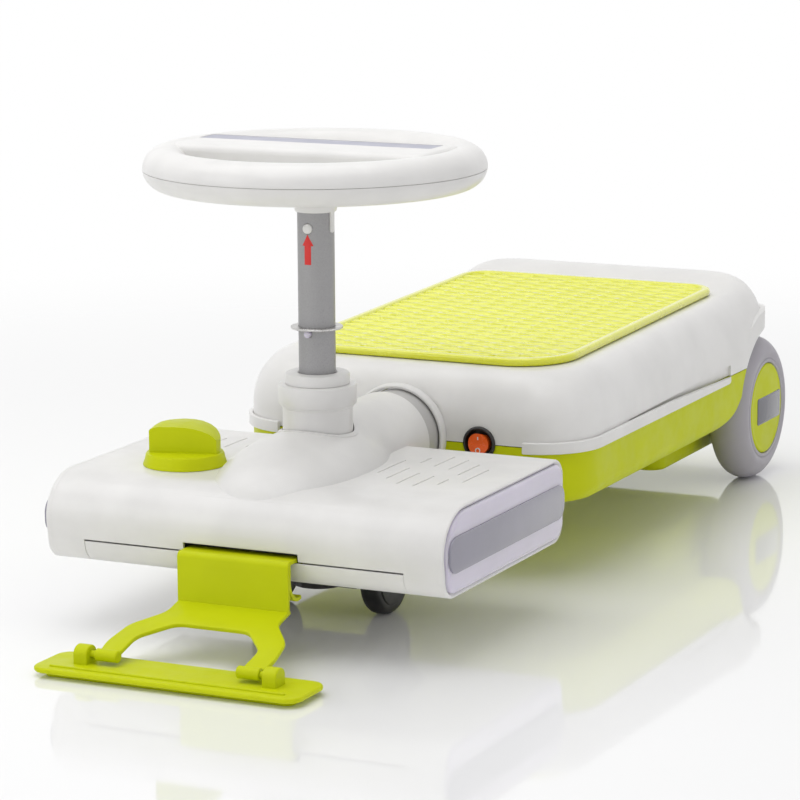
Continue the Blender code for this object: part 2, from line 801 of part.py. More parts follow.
def hood(name, inset):
    """The dome and the neck that it runs into, as one solid of rings across Y."""
    radius_y = DOME_RADII[1] - inset
    stations = [DOME_CENTRE[1] - radius_y * math.cos(math.radians(8 + i * 82 / 12)) for i in range(13)]
    end = NECK_END_Y + (0.0 if inset == 0.0 else 10.0)
    stations += [DOME_CENTRE[1] + (end - DOME_CENTRE[1]) * (i + 1) / 10 for i in range(10)]
    rings = []
    for y in stations:
        share = min(max(1.0 + y / NECK_RADIUS, 0.0), 1.0)
        middle_z = DOME_CENTRE[2] + share * (NECK_Z - DOME_CENTRE[2])
        ring = []
        for i in range(34):
            angle = math.radians(360 * (i + 0.5) / 34)
            reach = hood_reach(angle, y, middle_z, inset)
            ring.append((reach * math.cos(angle), y, middle_z + reach * math.sin(angle)))
        rings.append(ring)
    return loft(name, rings)


def head_upper_casing():
    casing = head_block("head_upper_casing", 0.0, HEAD_HALF_WIDTH, "white")
    join(casing, hood("casing_hood", 0.0))
    hollow = join(head_block("casing_hollow", WALL, HEAD_HALF_WIDTH - WALL), hood("hood_hollow", WALL))
    cut(casing, hollow)
    collar_hole = rod("collar_hole", COLLAR_SLEEVE_RADIUS + GAP, 90.0, (0.0, 0.0, NECK_Z + 45.0))
    knob_hole = rod("knob_hole", KNOB_STEM_RADIUS + GAP, 20.0, (KNOB_X, KNOB_Y, HEAD_TOP_Z), sides=16)
    slot = box(
        "hook_slot",
        (-ARM_HALF_WIDTH - 2.0, HEAD_FRONT_Y - 5.0, HEAD_BOTTOM_Z),
        (ARM_HALF_WIDTH + 2.0, HEAD_FRONT_Y + 15.0, HEAD_PARTING_Z + 7.0),
    )
    cut(casing, beside_parting("below_casing", False), collar_hole, knob_hole, slot)


def strip_space(name, clearance):
    reach = STRIP_HALF_WIDTH - clearance
    top = HEAD_PARTING_Z + 5.0 if clearance == 0.0 else STRIP_TOP_Z
    return box(
        name,
        (-reach, HEAD_FRONT_Y - 5.0, HEAD_BOTTOM_Z - 5.0),
        (reach, HEAD_FRONT_Y + 25.0 - clearance, top),
    )


def head_base():
    base = head_block("head_base", 0.0, HEAD_HALF_WIDTH, "white")
    hollow = head_block("base_hollow", WALL, HEAD_HALF_WIDTH - WALL)
    roof_height = WELL_TOP_Z - HEAD_BOTTOM_Z
    well = rod(
        "well_cup",
        WELL_RADIUS + WALL,
        roof_height,
        (0.0, 0.0, HEAD_BOTTOM_Z + roof_height / 2),
        sides=32,
    )
    void_height = WELL_ROOF_Z - HEAD_BOTTOM_Z + 10.0
    void = rod(
        "well_void",
        WELL_RADIUS,
        void_height,
        (0.0, 0.0, WELL_ROOF_Z - void_height / 2),
        sides=32,
    )
    column_hole = rod("base_column_hole", COLUMN_CLEAR + GAP, 30.0, (0.0, 0.0, WELL_ROOF_Z))
    cut(base, hollow, beside_parting("above_base", True), strip_space("strip_recess", 0.0))
    join(base, well)
    cut(base, void, column_hole)


def head_front_strip():
    strip = head_block("head_front_strip", 0.0, HEAD_HALF_WIDTH, "white")
    cut(strip, head_block("strip_hollow", WALL, HEAD_HALF_WIDTH + 10.0))
    keep_inside(strip, strip_space("strip_bounds", GAP))


def end_lens(side, sign):
    """A translucent cup over the head's end, open towards the head."""
    start = LENS_START_X
    outer = start + LENS_DEPTH - GAP
    levels = (
        (6.5, outer - 2.5),
        (4.2, outer - 4.0),
        (4.0, start),
        (1.0, start),
        (1.0, outer - 4.0),
        (2.5, outer - 1.2),
        (5.5, outer),
    )
    rings = [[(sign * x, y, z) for y, z in head_outline(inset)] for inset, x in levels]
    loft("end_lens_" + side, rings, paint="lens")
    panel = rounded_rectangle(-130.0, 88.0, 84.0, 120.0, 8.0, 3)
    middle = sign * (outer + GAP + PANEL_THICKNESS / 2)
    slab("end_panel_" + side, [panel], PANEL_THICKNESS, (middle, 0.0, 0.0), ALONG_X, paint="dark_panel")
    board = box(
        "light_board_" + side,
        (min(sign * start, sign * (start + 1.6)), -110.0, 86.0),
        (max(sign * start, sign * (start + 1.6)), 70.0, 110.0),
        paint="board",
    )
    for i in range(5):
        y = -90.0 + 35.0 * i
        diode = box(
            f"diode_{side}_{i}",
            (min(sign * (start + 1.0), sign * (start + 3.0)), y - 2.5, 95.5),
            (max(sign * (start + 1.0), sign * (start + 3.0)), y + 2.5, 100.5),
        )
        join(board, diode)


def mode_knob():
    stem = 10.0
    base = HEAD_TOP_Z + GAP
    profile = [
        (0.0, KNOB_BASE_HEIGHT),
        (KNOB_RADIUS - 3.5, KNOB_BASE_HEIGHT),
        (KNOB_RADIUS - 2.0, KNOB_BASE_HEIGHT - 1.5),
        (KNOB_RADIUS, 0.0),
        (KNOB_STEM_RADIUS, 0.0),
        (KNOB_STEM_RADIUS, -stem),
        (0.0, -stem),
    ]
    knob = turned("mode_knob", profile, (KNOB_X, KNOB_Y, base), body="mode_knob", paint="lime", sides=28)
    low = base + KNOB_BASE_HEIGHT - 1.0
    height = KNOB_GRIP_HEIGHT + 1.0
    grip = rod("knob_grip", KNOB_GRIP_RADIUS, height, (KNOB_X, KNOB_Y, low + height / 2), sides=28)
    edge = 60.0
    behind = box(
        "knob_behind",
        (KNOB_X - edge, KNOB_Y + KNOB_GRIP_BACK, low - 5.0),
        (KNOB_X + edge, KNOB_Y + edge, low + edge),
    )
    cut(grip, behind)
    join(knob, grip)
    half = 15.0
    switch = box(
        "knob_switch",
        (KNOB_X - half, KNOB_Y - half, HEAD_TOP_Z - WALL - GAP - 22.0),
        (KNOB_X + half, KNOB_Y + half, HEAD_TOP_Z - WALL - GAP),
        paint="black",
    )
    cut(switch, rod("switch_socket", KNOB_STEM_RADIUS + GAP, 30.0, (KNOB_X, KNOB_Y, HEAD_TOP_Z + 15.0 - stem - GAP)))


def neck():
    """The frame that carries the column and joins head and body, and the neck's visible sleeve and ring."""
    bottom = WELL_TOP_Z + GAP
    top = COLLAR_BAND_Z - WALL - GAP
    frame = rod(
        "neck_frame",
        HEAD_TUBE_RADIUS,
        top - bottom,
        (0.0, 0.0, (top + bottom) / 2),
        paint="steel",
    )
    flange = rod("frame_flange", 45.0, 4.0, (0.0, 0.0, bottom + 2.0))
    start = HEAD_TUBE_BORE + 2.0
    spar = tube("frame_spar", SPAR_RADIUS, SPAR_RADIUS - SPAR_WALL, SPAR_END_Y - start, (0.0, start, NECK_Z), AXIS_Y)
    bore = rod("frame_bore", HEAD_TUBE_BORE, 200.0, (0.0, 0.0, NECK_Z))
    join(frame, flange, spar)
    cut(frame, bore)
    sleeve_start = NECK_END_Y + GAP
    tube(
        "neck_sleeve",
        NECK_SLEEVE_RADIUS,
        NECK_SLEEVE_RADIUS - WALL,
        BODY_FRONT_Y + 12.0 - sleeve_start,
        (0.0, sleeve_start, NECK_Z),
        AXIS_Y,
        paint="white",
        sides=32,
    )
    ring_inner = NECK_SLEEVE_RADIUS + 2 * GAP
    ring = [
        (NECK_RING_RADIUS, NECK_RING_LENGTH),
        (NECK_RING_RADIUS, 2.0),
        (NECK_RING_RADIUS - 2.0, 0.0),
        (ring_inner, 0.0),
        (ring_inner, NECK_RING_LENGTH),
    ]
    turned(
        "neck_ring",
        ring,
        (0.0, BODY_FRONT_Y - GAP - NECK_RING_LENGTH, NECK_Z),
        AXIS_Y,
        paint="white",
        sides=32,
    )
    clamp = box(
        "spar_clamp",
        (-CLAMP_HALF_WIDTH, SPAR_END_Y - 20.0 - CLAMP_LENGTH, BODY_BOTTOM_Z + WALL + GAP),
        (CLAMP_HALF_WIDTH, SPAR_END_Y - 20.0, NECK_Z + SPAR_RADIUS + 6.0),
        paint="black",
    )
    cut(clamp, rod("clamp_bore", SPAR_RADIUS + GAP, 200.0, (0.0, SPAR_END_Y - 50.0, NECK_Z), AXIS_Y))


# ---- ride-on body --------------------------------------------------------------------------------


def deck_z(y):
    return DECK_FRONT_Z + DECK_SLOPE * (y - DECK_FRONT_Y)


def top_z(y):
    """The upper shell's top: the deck, and behind it the rise to the tail."""
    start = DECK_REAR_Y - DECK_CORNER
    t = min(max((y - start) / DECK_CORNER, 0.0), 1.0)
    return deck_z(y) + TAIL_RISE * t * t * (3 - 2 * t)


def upper_ring(turn, wall=0.0):
    """A ring of the upper shell. turn runs from 0 at the shoulder to 90 degrees at the flat deck."""
    share = 1.0 - math.cos(math.radians(turn))
    climb = math.sin(math.radians(turn))
    side = BODY_HALF_WIDTH - share * (BODY_HALF_WIDTH - DECK_HALF_WIDTH) - wall
    front = BODY_FRONT_Y + share * (DECK_FRONT_Y - BODY_FRONT_Y) + wall
    rear = BODY_REAR_Y - share * (BODY_REAR_Y - DECK_REAR_Y) - wall
    corner = BODY_CORNER - share * (BODY_CORNER - DECK_CORNER) - wall
    points = rounded_rectangle(-side, side, front, rear, corner, 6)
    return [(x, y, BODY_SHOULDER_Z + climb * (top_z(y) - wall - BODY_SHOULDER_Z)) for x, y in points]


def level_ring(z, inset):
    side = BODY_HALF_WIDTH - inset
    points = rounded_rectangle(-side, side, BODY_FRONT_Y + inset, BODY_REAR_Y - inset, BODY_CORNER - inset, 6)
    return [(x, y, z) for x, y in points]


def wheel_arch(name, radius, inner_x):
    """Both wheel arches as one cutter pair, given by name for the left and the right."""
    cutters = []
    for side, sign in (("left", -1.0), ("right", 1.0)):
        length = 60.0
        at = (sign * (inner_x + length / 2), REAR_AXLE_Y, REAR_WHEEL_RADIUS)
        cutters.append(rod(f"{name}_{side}", radius, length, at, AXIS_X, sides=32))
    return cutters


def haunches(name, wall, inner_x):
    """Cutters that round off the lower shell in front of each rear wheel, moved forwards by wall."""
    y, z = HAUNCH_CENTRE
    radii = (HAUNCH_RADII[0] - wall, HAUNCH_RADII[1] - wall)
    seam = BODY_PARTING_Z + 1.0
    start = -math.degrees(math.asin((z - seam) / radii[1]))
    outline = arc((y, z), radii, start, -90, 8) + [(y, 40.0), (REAR_AXLE_Y, 40.0), (REAR_AXLE_Y, seam)]
    cutters = []
    for side, sign in (("left", -1.0), ("right", 1.0)):
        length = 60.0
        at = (sign * (inner_x + length / 2), 0.0, 0.0)
        cutters.append(slab(f"{name}_{side}", [outline[::-1]], length, at, ALONG_X))
    return cutters


def body_openings():
    """The holes that both shells share: neck, switch and axle."""
    axle = rod(
        "shell_axle_hole",
        REAR_AXLE_RADIUS + 1.0,
        4 * BODY_HALF_WIDTH,
        (0.0, REAR_AXLE_Y, REAR_WHEEL_RADIUS),
        AXIS_X,
        sides=20,
    )
    neck_hole = rod("neck_hole", NECK_SLEEVE_RADIUS + GAP, 60.0, (0.0, BODY_FRONT_Y, NECK_Z), AXIS_Y, sides=32)
    switch_hole = rod("switch_hole", SWITCH_RADIUS + GAP, 40.0, (ROCKER_X, BODY_FRONT_Y, ROCKER_Z), AXIS_Y)
    return axle, neck_hole, switch_hole


def body_shells():
    angles = (18, 36, 54, 72, 90)
    arches = wheel_arch("arch", ARCH_RADIUS, ARCH_INNER_X)
    liners = wheel_arch("arch_liner", ARCH_RADIUS + WALL, ARCH_INNER_X - WALL)
    openings = body_openings()
    seam = BODY_PARTING_Z + GAP / 2
    rings = [level_ring(seam, 0.0), level_ring(BODY_SHOULDER_Z, 0.0)]
    upper = loft("body_upper_shell", rings + [upper_ring(a) for a in angles], paint="white", sloping_end=True)
    inner = [level_ring(seam - 10.0, WALL), level_ring(BODY_SHOULDER_Z, WALL)]
    upper_hollow = loft("upper_hollow", inner + [upper_ring(a, WALL) for a in angles], sloping_end=True)
    cut(upper_hollow, *liners)
    cut(upper, *arches, upper_hollow, *openings)
    seam = BODY_PARTING_Z - GAP / 2
    foot = BODY_BOTTOM_Z
    rings = [level_ring(foot, 5.0), level_ring(foot + 5.0, 1.0), level_ring(foot + 14.0, 0.0), level_ring(seam, 0.0)]
    lower = loft("body_lower_shell", rings, paint="lime")
    inner = [
        level_ring(foot + WALL, 5.0 + WALL),
        level_ring(foot + 6.0, 1.0 + WALL),
        level_ring(foot + 14.0, WALL),
        level_ring(seam + 10.0, WALL),
    ]
    lower_hollow = loft("lower_hollow", inner)
    cut(lower_hollow, *liners, *haunches("haunch_liner", WALL, ARCH_INNER_X - WALL))
    window = box(
        "drive_window",
        (-GEARBOX_OUTER_X - 4.0, REAR_AXLE_Y - GEARBOX_FRONT - 4.0, foot - 5.0),
        (GEARBOX_OUTER_X + 4.0, GEARBOX_REAR_Y + 4.0, foot + WALL + 5.0),
    )
    socket_hole = rod(
        "socket_hole", SOCKET_RADIUS + GAP, 20.0, (SOCKET_X, BODY_REAR_Y, SOCKET_Z), AXIS_Y, sides=20
    )
    cut(lower, *arches, *haunches("haunch", 0.0, ARCH_INNER_X), lower_hollow, *openings, window, socket_hole)


def side_bumper(side, sign):
    """A rubbing strip that wraps the front corner and runs back along the side."""
    centre = (BODY_HALF_WIDTH - BODY_CORNER, BODY_FRONT_Y + BODY_CORNER)
    inner = BODY_CORNER + GAP
    outer = BODY_CORNER + BUMPER_THICKNESS
    outside = arc(centre, (outer, outer), BUMPER_START, 0, 8)
    outside += [(centre[0] + outer, BUMPER_END_Y - 8.0), (centre[0] + outer - 5.0, BUMPER_END_Y)]
    inside = [(centre[0] + inner, BUMPER_END_Y)] + arc(centre, (inner, inner), 0, BUMPER_START, 8)
    outline = [(sign * x, y) for x, y in outside + inside]
    at = (0.0, 0.0, BODY_PARTING_Z)
    slab("side_bumper_" + side, [outline], BUMPER_HEIGHT, at, paint="white", smooth=True)


def deck_pad():
    """The ribbed mat on the sloping deck: a rim with a ribbed sheet inside it."""
    angle = math.atan(DECK_SLOPE)
    front = (0.0, PAD_FRONT_Y, deck_z(PAD_FRONT_Y) + GAP)
    length = (PAD_REAR_Y - PAD_FRONT_Y) / math.cos(angle)
    tilt = (angle, 0.0, 0.0)
    rise = Vector((0.0, -math.sin(angle), math.cos(angle)))
    rim_at = Vector(front) + rise * (PAD_HEIGHT / 2)
    outer = rounded_rectangle(-PAD_HALF_WIDTH, PAD_HALF_WIDTH, 0.0, length, PAD_CORNER, 6)
    side = PAD_HALF_WIDTH - PAD_RIM
    inner = rounded_rectangle(-side, side, PAD_RIM, length - PAD_RIM, PAD_CORNER - PAD_RIM, 6)
    pad = slab("deck_pad", [outer, inner[::-1]], PAD_HEIGHT, rim_at, tilt, paint="lime")
    pitch = (length - 2 * PAD_RIM) / PAD_RIB_COUNT
    sheet = PAD_HEIGHT - 2.6
    crest = PAD_HEIGHT - 1.0
    comb = [(PAD_RIM - 2.0, 0.0)]
    comb += [(length - PAD_RIM + 2.0, 0.0), (length - PAD_RIM + 2.0, sheet)]
    for i in reversed(range(PAD_RIB_COUNT)):
        middle = PAD_RIM + (i + 0.5) * pitch
        comb += [
            (middle + 0.35 * pitch, sheet),
            (middle + 0.2 * pitch, crest),
            (middle - 0.2 * pitch, crest),
            (middle - 0.35 * pitch, sheet),
        ]
    comb.append((PAD_RIM - 2.0, sheet))
    ribs = outline_mesh([comb], 2 * side + 4.0)
    ribs.transform(Matrix.Rotation(math.radians(90), 4, "Z") @ Matrix.Rotation(math.radians(90), 4, "X"))
    ribbed = place("pad_ribs", ribs, "chassis", None, front, tilt)
    shape = rounded_rectangle(-side - 2.0, side + 2.0, PAD_RIM - 2.0, length - PAD_RIM + 2.0, PAD_CORNER - PAD_RIM, 6)
    keep_inside(ribbed, slab("pad_shape", [shape], 30.0, front, tilt))
    join(pad, ribbed)


def rocker_switch():
    """The round switch housing in the front face and its rocker on a cross axis."""
    front = BEZEL_THICKNESS + GAP
    depth = SWITCH_DEPTH
    profile = [
        (0.0, front + depth),
        (BEZEL_RADIUS - 1.0, front + depth),
        (BEZEL_RADIUS, front + depth - 1.0),
        (BEZEL_RADIUS, depth + GAP),
        (SWITCH_RADIUS, depth + GAP),
        (SWITCH_RADIUS, 0.0),
        (0.0, 0.0),
    ]
    at = (ROCKER_X, BODY_FRONT_Y + depth, ROCKER_Z)
    housing = turned("switch_housing", profile, at, (math.radians(90), 0.0, 0.0), paint="black")
    pocket = box(
        "rocker_pocket",
        (ROCKER_X - ROCKER_HALF_WIDTH - GAP, BODY_FRONT_Y - 10.0, ROCKER_Z - ROCKER_HALF_HEIGHT - ROCKER_SWING),
        (ROCKER_X + ROCKER_HALF_WIDTH + GAP, BODY_FRONT_Y + 12.0, ROCKER_Z + ROCKER_HALF_HEIGHT + ROCKER_SWING),
    )
    cut(housing, pocket)
    axis_y = PIVOTS["power_rocker"][1]
    face = BODY_FRONT_Y - BEZEL_THICKNESS - GAP
    half = ROCKER_HALF_HEIGHT
    outline = [
        (face - 2.2, ROCKER_Z + half),
        (face - 0.6, ROCKER_Z),
        (face - 2.2, ROCKER_Z - half),
        (axis_y + 1.0, ROCKER_Z - half + 1.6),
        (axis_y + 6.0, ROCKER_Z),
        (axis_y + 1.0, ROCKER_Z + half - 1.6),
    ]
    shifted = [(y - axis_y, z - ROCKER_Z) for y, z in outline]
    slab(
        "power_rocker",
        [shifted],
        2 * ROCKER_HALF_WIDTH,
        PIVOTS["power_rocker"],
        ALONG_X,
        "power_rocker",
        "orange",
    )


# ---- rear wheels and drive -----------------------------------------------------------------------


def rear_wheel(side, sign):
    width = REAR_WHEEL_OUTER_X - REAR_WHEEL_INNER_X
    half = width / 2
    bore = REAR_AXLE_RADIUS + GAP
    recess = HUBCAP_RADIUS + GAP
    lip = 6.0
    tread = arc((REAR_WHEEL_RADIUS - half, half), (half, half), 80, -80, 6)
    profile = [(recess + lip - 2.0, width), *tread]
    profile += [
        (recess, 0.0),
        (recess - 6.0, 6.0),
        (20.0, 6.0),
        (20.0, 0.0),
        (bore, 0.0),
        (bore, width - HUBCAP_DEPTH - GAP),
        (recess, width - HUBCAP_DEPTH - GAP),
        (recess, width - 1.0),
    ]
    body = "rear_wheel_" + side
    turn = (0.0, math.radians(90) * sign, 0.0)
    turned("rear_tyre_" + side, profile, PIVOTS[body], turn, body, "grey_tyre", 36)
    cap = [
        (0.0, HUBCAP_DEPTH),
        (HUBCAP_RADIUS * 0.6, HUBCAP_DEPTH - 0.4),
        (HUBCAP_RADIUS - 3.0, HUBCAP_DEPTH - 1.2),
        (HUBCAP_RADIUS, HUBCAP_DEPTH - 3.0),
        (HUBCAP_RADIUS, 0.0),
        (0.0, 0.0),
    ]
    at = (sign * (REAR_WHEEL_OUTER_X - HUBCAP_DEPTH), REAR_AXLE_Y, REAR_WHEEL_RADIUS)
    turned("hubcap_" + side, cap, at, turn, body, "lime", 28)


def rear_axle():
    reach = REAR_WHEEL_OUTER_X - HUBCAP_DEPTH - 3.0
    at = (0.0, REAR_AXLE_Y, REAR_WHEEL_RADIUS)
    rod("rear_axle", REAR_AXLE_RADIUS, 2 * reach, at, AXIS_X, paint="steel", sides=20)


def drive(side, sign):
    """A gearbox that carries the axle, with its motor in front."""
    xs = sorted((sign * GEARBOX_INNER_X, sign * GEARBOX_OUTER_X))
    bottom = COVER_BOTTOM_Z + WALL + GAP
    front = REAR_AXLE_Y - GEARBOX_FRONT
    gearbox = box(
        "drive_gearbox_" + side,
        (xs[0], front, bottom),
        (xs[1], GEARBOX_REAR_Y, REAR_WHEEL_RADIUS + GEARBOX_ABOVE_AXLE),
        paint="black",
    )
    hole = rod(
        "gearbox_hole_" + side,
        REAR_AXLE_RADIUS + GAP,
        200.0,
        (sign * 90.0, REAR_AXLE_Y, REAR_WHEEL_RADIUS),
        AXIS_X,
        sides=20,
    )
    cut(gearbox, hole)
    middle = (sum(xs) / 2, front - GAP - MOTOR_LENGTH / 2, bottom + MOTOR_RADIUS)
    rod("drive_motor_" + side, MOTOR_RADIUS, MOTOR_LENGTH, middle, AXIS_Y, paint="steel", sides=24)


def drive_cover():
    def ring(z, inset):
        side = COVER_HALF_WIDTH - inset
        corner = COVER_CORNER - inset / 2
        points = rounded_rectangle(-side, side, COVER_FRONT_Y + inset, COVER_REAR_Y - inset, corner, 3)
        return [(x, y, z) for x, y in points]

    top = BODY_BOTTOM_Z - GAP
    rings = [
        ring(COVER_BOTTOM_Z + WALL, COVER_TAPER + WALL),
        ring(COVER_BOTTOM_Z + COVER_TAPER + WALL, WALL),
        ring(top, WALL),
        ring(top, 0.0),
        ring(COVER_BOTTOM_Z + COVER_TAPER, 0.0),
        ring(COVER_BOTTOM_Z, COVER_TAPER),
    ]
    cut(loft("drive_cover", rings, paint="lime"), bpy.data.objects["shell_axle_hole"])


def on_floor(name, size, front_y, paint):
    """A block on the lower shell's floor, centred across the body."""
    floor = BODY_BOTTOM_Z + WALL + GAP
    return box(name, (-size[0] / 2, front_y, floor), (size[0] / 2, front_y + size[1], floor + size[2]), paint=paint)


def electrics():
    on_floor("battery_pack", BATTERY_SIZE, BATTERY_FRONT_Y, "black")
    board = on_floor("control_board", BOARD_SIZE, BOARD_FRONT_Y, "board")
    join(board, on_floor("board_relay", (16.0, 18.0, 14.0), BOARD_FRONT_Y + 12.0, None))
    join(board, on_floor("board_chip", (30.0, 14.0, 4.0), BOARD_FRONT_Y + 48.0, None))
    flange = SOCKET_RADIUS + SOCKET_FLANGE
    end = SOCKET_LENGTH + 2.0
    profile = [
        (0.0, end),
        (flange, end),
        (flange, SOCKET_LENGTH),
        (SOCKET_RADIUS, SOCKET_LENGTH),
        (SOCKET_RADIUS, 0.0),
        (0.0, 0.0),
    ]
    at = (SOCKET_X, BODY_REAR_Y + GAP - SOCKET_LENGTH, SOCKET_Z)
    socket = turned("charge_socket", profile, at, AXIS_Y, paint="black", sides=20)
    bore = rod("socket_bore", SOCKET_BORE, SOCKET_LENGTH, (SOCKET_X, BODY_REAR_Y, SOCKET_Z), AXIS_Y, sides=12)
    cut(socket, bore)


# ---- mop -----------------------------------------------------------------------------------------


def mop_arm():
    """Clip over the head's front strip, and two legs down to the hinge barrels."""
    front = ARM_FRONT_Y
    back = front + ARM_THICKNESS
    top = HOOK_Z + ARM_THICKNESS
    tab = HOOK_BACK_Y - ARM_THICKNESS
    curl_centre = (HOOK_AXIS_Y - 2.0, HOOK_Z - 14.0)
    curl = arc(curl_centre, CURL_RADII, 200, 290, 7)
    curl_inner = arc(curl_centre, tuple(radius - ARM_THICKNESS for radius in CURL_RADII), 290, 180, 8)
    clip = [
        (front, ARM_BEND_Z),
        (back, ARM_BEND_Z - 1.0),
        *curl,
        *curl_inner,
        (curl_inner[-1][0], HOOK_Z),
        (tab, HOOK_Z),
        (tab, HOOK_Z - HOOK_TAB_LENGTH),
        (HOOK_BACK_Y, HOOK_Z - HOOK_TAB_LENGTH),
        (HOOK_BACK_Y, top),
        (front + 3.0, top),
        (front, top - 3.0),
    ]
    arm = slab("mop_arm", [clip], 2 * ARM_HALF_WIDTH, (0.0, 0.0, 0.0), ALONG_X, "mop_arm", "lime")
    run = ARM_FRONT_Y - MOP_AXLE_Y
    drop = ARM_BEND_Z - MOP_AXLE_Z
    angle = math.atan2(drop, run)
    length = math.hypot(run, drop)
    outer = [(ARM_HALF_WIDTH, 4.0), (ARM_HALF_WIDTH, -22.0), (73.0, -54.0), (77.0, -84.0), (72.0, -length)]
    inner = [(56.0, -length), (57.0, -76.0), (39.0, -54.0), (28.0, -46.0)]
    half = outer + inner
    outline = half + [(-x, y) for x, y in reversed(half)]
    legs = slab("arm_legs", [outline], ARM_THICKNESS + 0.7, (0.0, ARM_FRONT_Y + 1.5, ARM_BEND_Z), (angle, 0.0, 0.0))
    join(arm, legs)
    for side, sign in (("left", -1.0), ("right", 1.0)):
        middle = sign * (BARREL_INNER_X + BARREL_OUTER_X) / 2
        at = (middle, MOP_AXLE_Y, MOP_AXLE_Z)
        width = BARREL_OUTER_X - BARREL_INNER_X
        join(arm, rod("barrel_" + side, BARREL_RADIUS, width, at, AXIS_X, sides=16))
    for side, sign in (("left", -1.0), ("right", 1.0)):
        cut(arm, mop_pin_space(side, sign))


def mop_pin_span(sign):
    inner = BARREL_INNER_X + 6.0
    outer = LUG_OUTER_X - 3.0
    return sign * (inner + outer) / 2, outer - inner


def mop_pin_space(side, sign):
    name = "mop_pin_space_" + side
    if name in bpy.data.objects:
        return bpy.data.objects[name]
    middle, length = mop_pin_span(sign)
    at = (middle, MOP_AXLE_Y, MOP_AXLE_Z)
    return rod(name, MOP_PIN_RADIUS + GAP, length + 2 * GAP, at, AXIS_X, sides=16)


def mop_pin(side, sign):
    middle, length = mop_pin_span(sign)
    at = (middle, MOP_AXLE_Y, MOP_AXLE_Z)
    rod("mop_pin_" + side, MOP_PIN_RADIUS, length, at, AXIS_X, "mop_arm", "lime", 16)


def mop_plate():
    outline = rounded_rectangle(-PLATE_HALF_WIDTH, PLATE_HALF_WIDTH, PLATE_FRONT_Y, PLATE_REAR_Y, PLATE_CORNER, 4)
    plate = slab("mop_plate", [outline], PLATE_THICKNESS, (0.0, 0.0, PLATE_THICKNESS / 2), body="mop_plate", paint="lime")
    ridge = box(
        "plate_ridge",
        (-PLATE_HALF_WIDTH + 16.0, PLATE_FRONT_Y + 9.0, PLATE_THICKNESS - 1.0),
        (PLATE_HALF_WIDTH - 16.0, PLATE_FRONT_Y + 12.0, PLATE_THICKNESS + 1.5),
    )
    join(plate, ridge)
    for side, sign in (("left", -1.0), ("right", 1.0)):
        xs = sorted((sign * LUG_INNER_X, sign * LUG_OUTER_X))
        top = MOP_AXLE_Z
        lug_outline = [(MOP_AXLE_Y - LUG_HALF_DEPTH, PLATE_THICKNESS - 1.0)]
        lug_outline += [(MOP_AXLE_Y + LUG_HALF_DEPTH, PLATE_THICKNESS - 1.0)]
        lug_outline += arc((MOP_AXLE_Y, top), (LUG_HALF_DEPTH, 7.5), 0, 180, 8)
        lug = slab("plate_lug_" + side, [lug_outline], xs[1] - xs[0], (sum(xs) / 2, 0.0, 0.0), ALONG_X)
        join(plate, lug)
        cut(plate, mop_pin_space(side, sign))


def build():
    steering_wheel()
    wheel_hub()
    steering_column()
    column_fittings()
    collar()
    steering_fork()
    fork_bolt()
    front_axle()
    both_sides(front_wheel)
    head_upper_casing()
    head_base()
    head_front_strip()
    both_sides(end_lens)
    mode_knob()
    neck()
    body_shells()
    both_sides(side_bumper)
    deck_pad()
    rocker_switch()
    both_sides(rear_wheel)
    rear_axle()
    both_sides(drive)
    drive_cover()
    electrics()
    mop_arm()
    both_sides(mop_pin)
    mop_plate()


build()
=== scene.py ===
"""Looks of the ride-on sweeper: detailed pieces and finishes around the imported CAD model.

Lengths are in millimetres from the steering column's axis at floor level, with X to the right as seen from
the front and Y to the rear, as in the CAD source. point() turns them into the row frame's metres.
"""

import math

import bmesh
import bpy
from mathutils import Matrix, Vector

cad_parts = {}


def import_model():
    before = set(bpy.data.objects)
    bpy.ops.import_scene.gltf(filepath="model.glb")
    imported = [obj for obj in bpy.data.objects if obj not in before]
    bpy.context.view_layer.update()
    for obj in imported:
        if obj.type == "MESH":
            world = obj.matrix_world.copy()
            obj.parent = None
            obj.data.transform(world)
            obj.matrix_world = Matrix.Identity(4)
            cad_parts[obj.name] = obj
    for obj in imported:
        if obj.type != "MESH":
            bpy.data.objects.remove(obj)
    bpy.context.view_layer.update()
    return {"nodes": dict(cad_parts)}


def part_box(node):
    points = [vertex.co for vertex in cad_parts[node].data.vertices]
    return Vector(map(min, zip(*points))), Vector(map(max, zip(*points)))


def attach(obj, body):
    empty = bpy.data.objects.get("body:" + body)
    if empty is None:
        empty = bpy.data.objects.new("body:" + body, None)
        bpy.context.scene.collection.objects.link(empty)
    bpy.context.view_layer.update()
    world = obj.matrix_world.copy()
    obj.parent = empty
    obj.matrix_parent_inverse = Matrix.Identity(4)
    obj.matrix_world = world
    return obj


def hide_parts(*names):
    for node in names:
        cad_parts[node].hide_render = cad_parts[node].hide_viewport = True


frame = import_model()
NODES = frame["nodes"]

MM = 0.001
GAP = 0.3
WALL = 3.0
COLUMN_LOW, COLUMN_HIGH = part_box("steering_column")
AXIS_Y = (COLUMN_LOW.y + COLUMN_HIGH.y) / 2


def point(x, y, z):
    return Vector((x * MM, y * MM + AXIS_Y, z * MM))


def span(node):
    """A CAD node's box in millimetres from the column's axis: two corners."""
    low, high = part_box(node)
    return (
        Vector((low.x, low.y - AXIS_Y, low.z)) / MM,
        Vector((high.x, high.y - AXIS_Y, high.z)) / MM,
    )


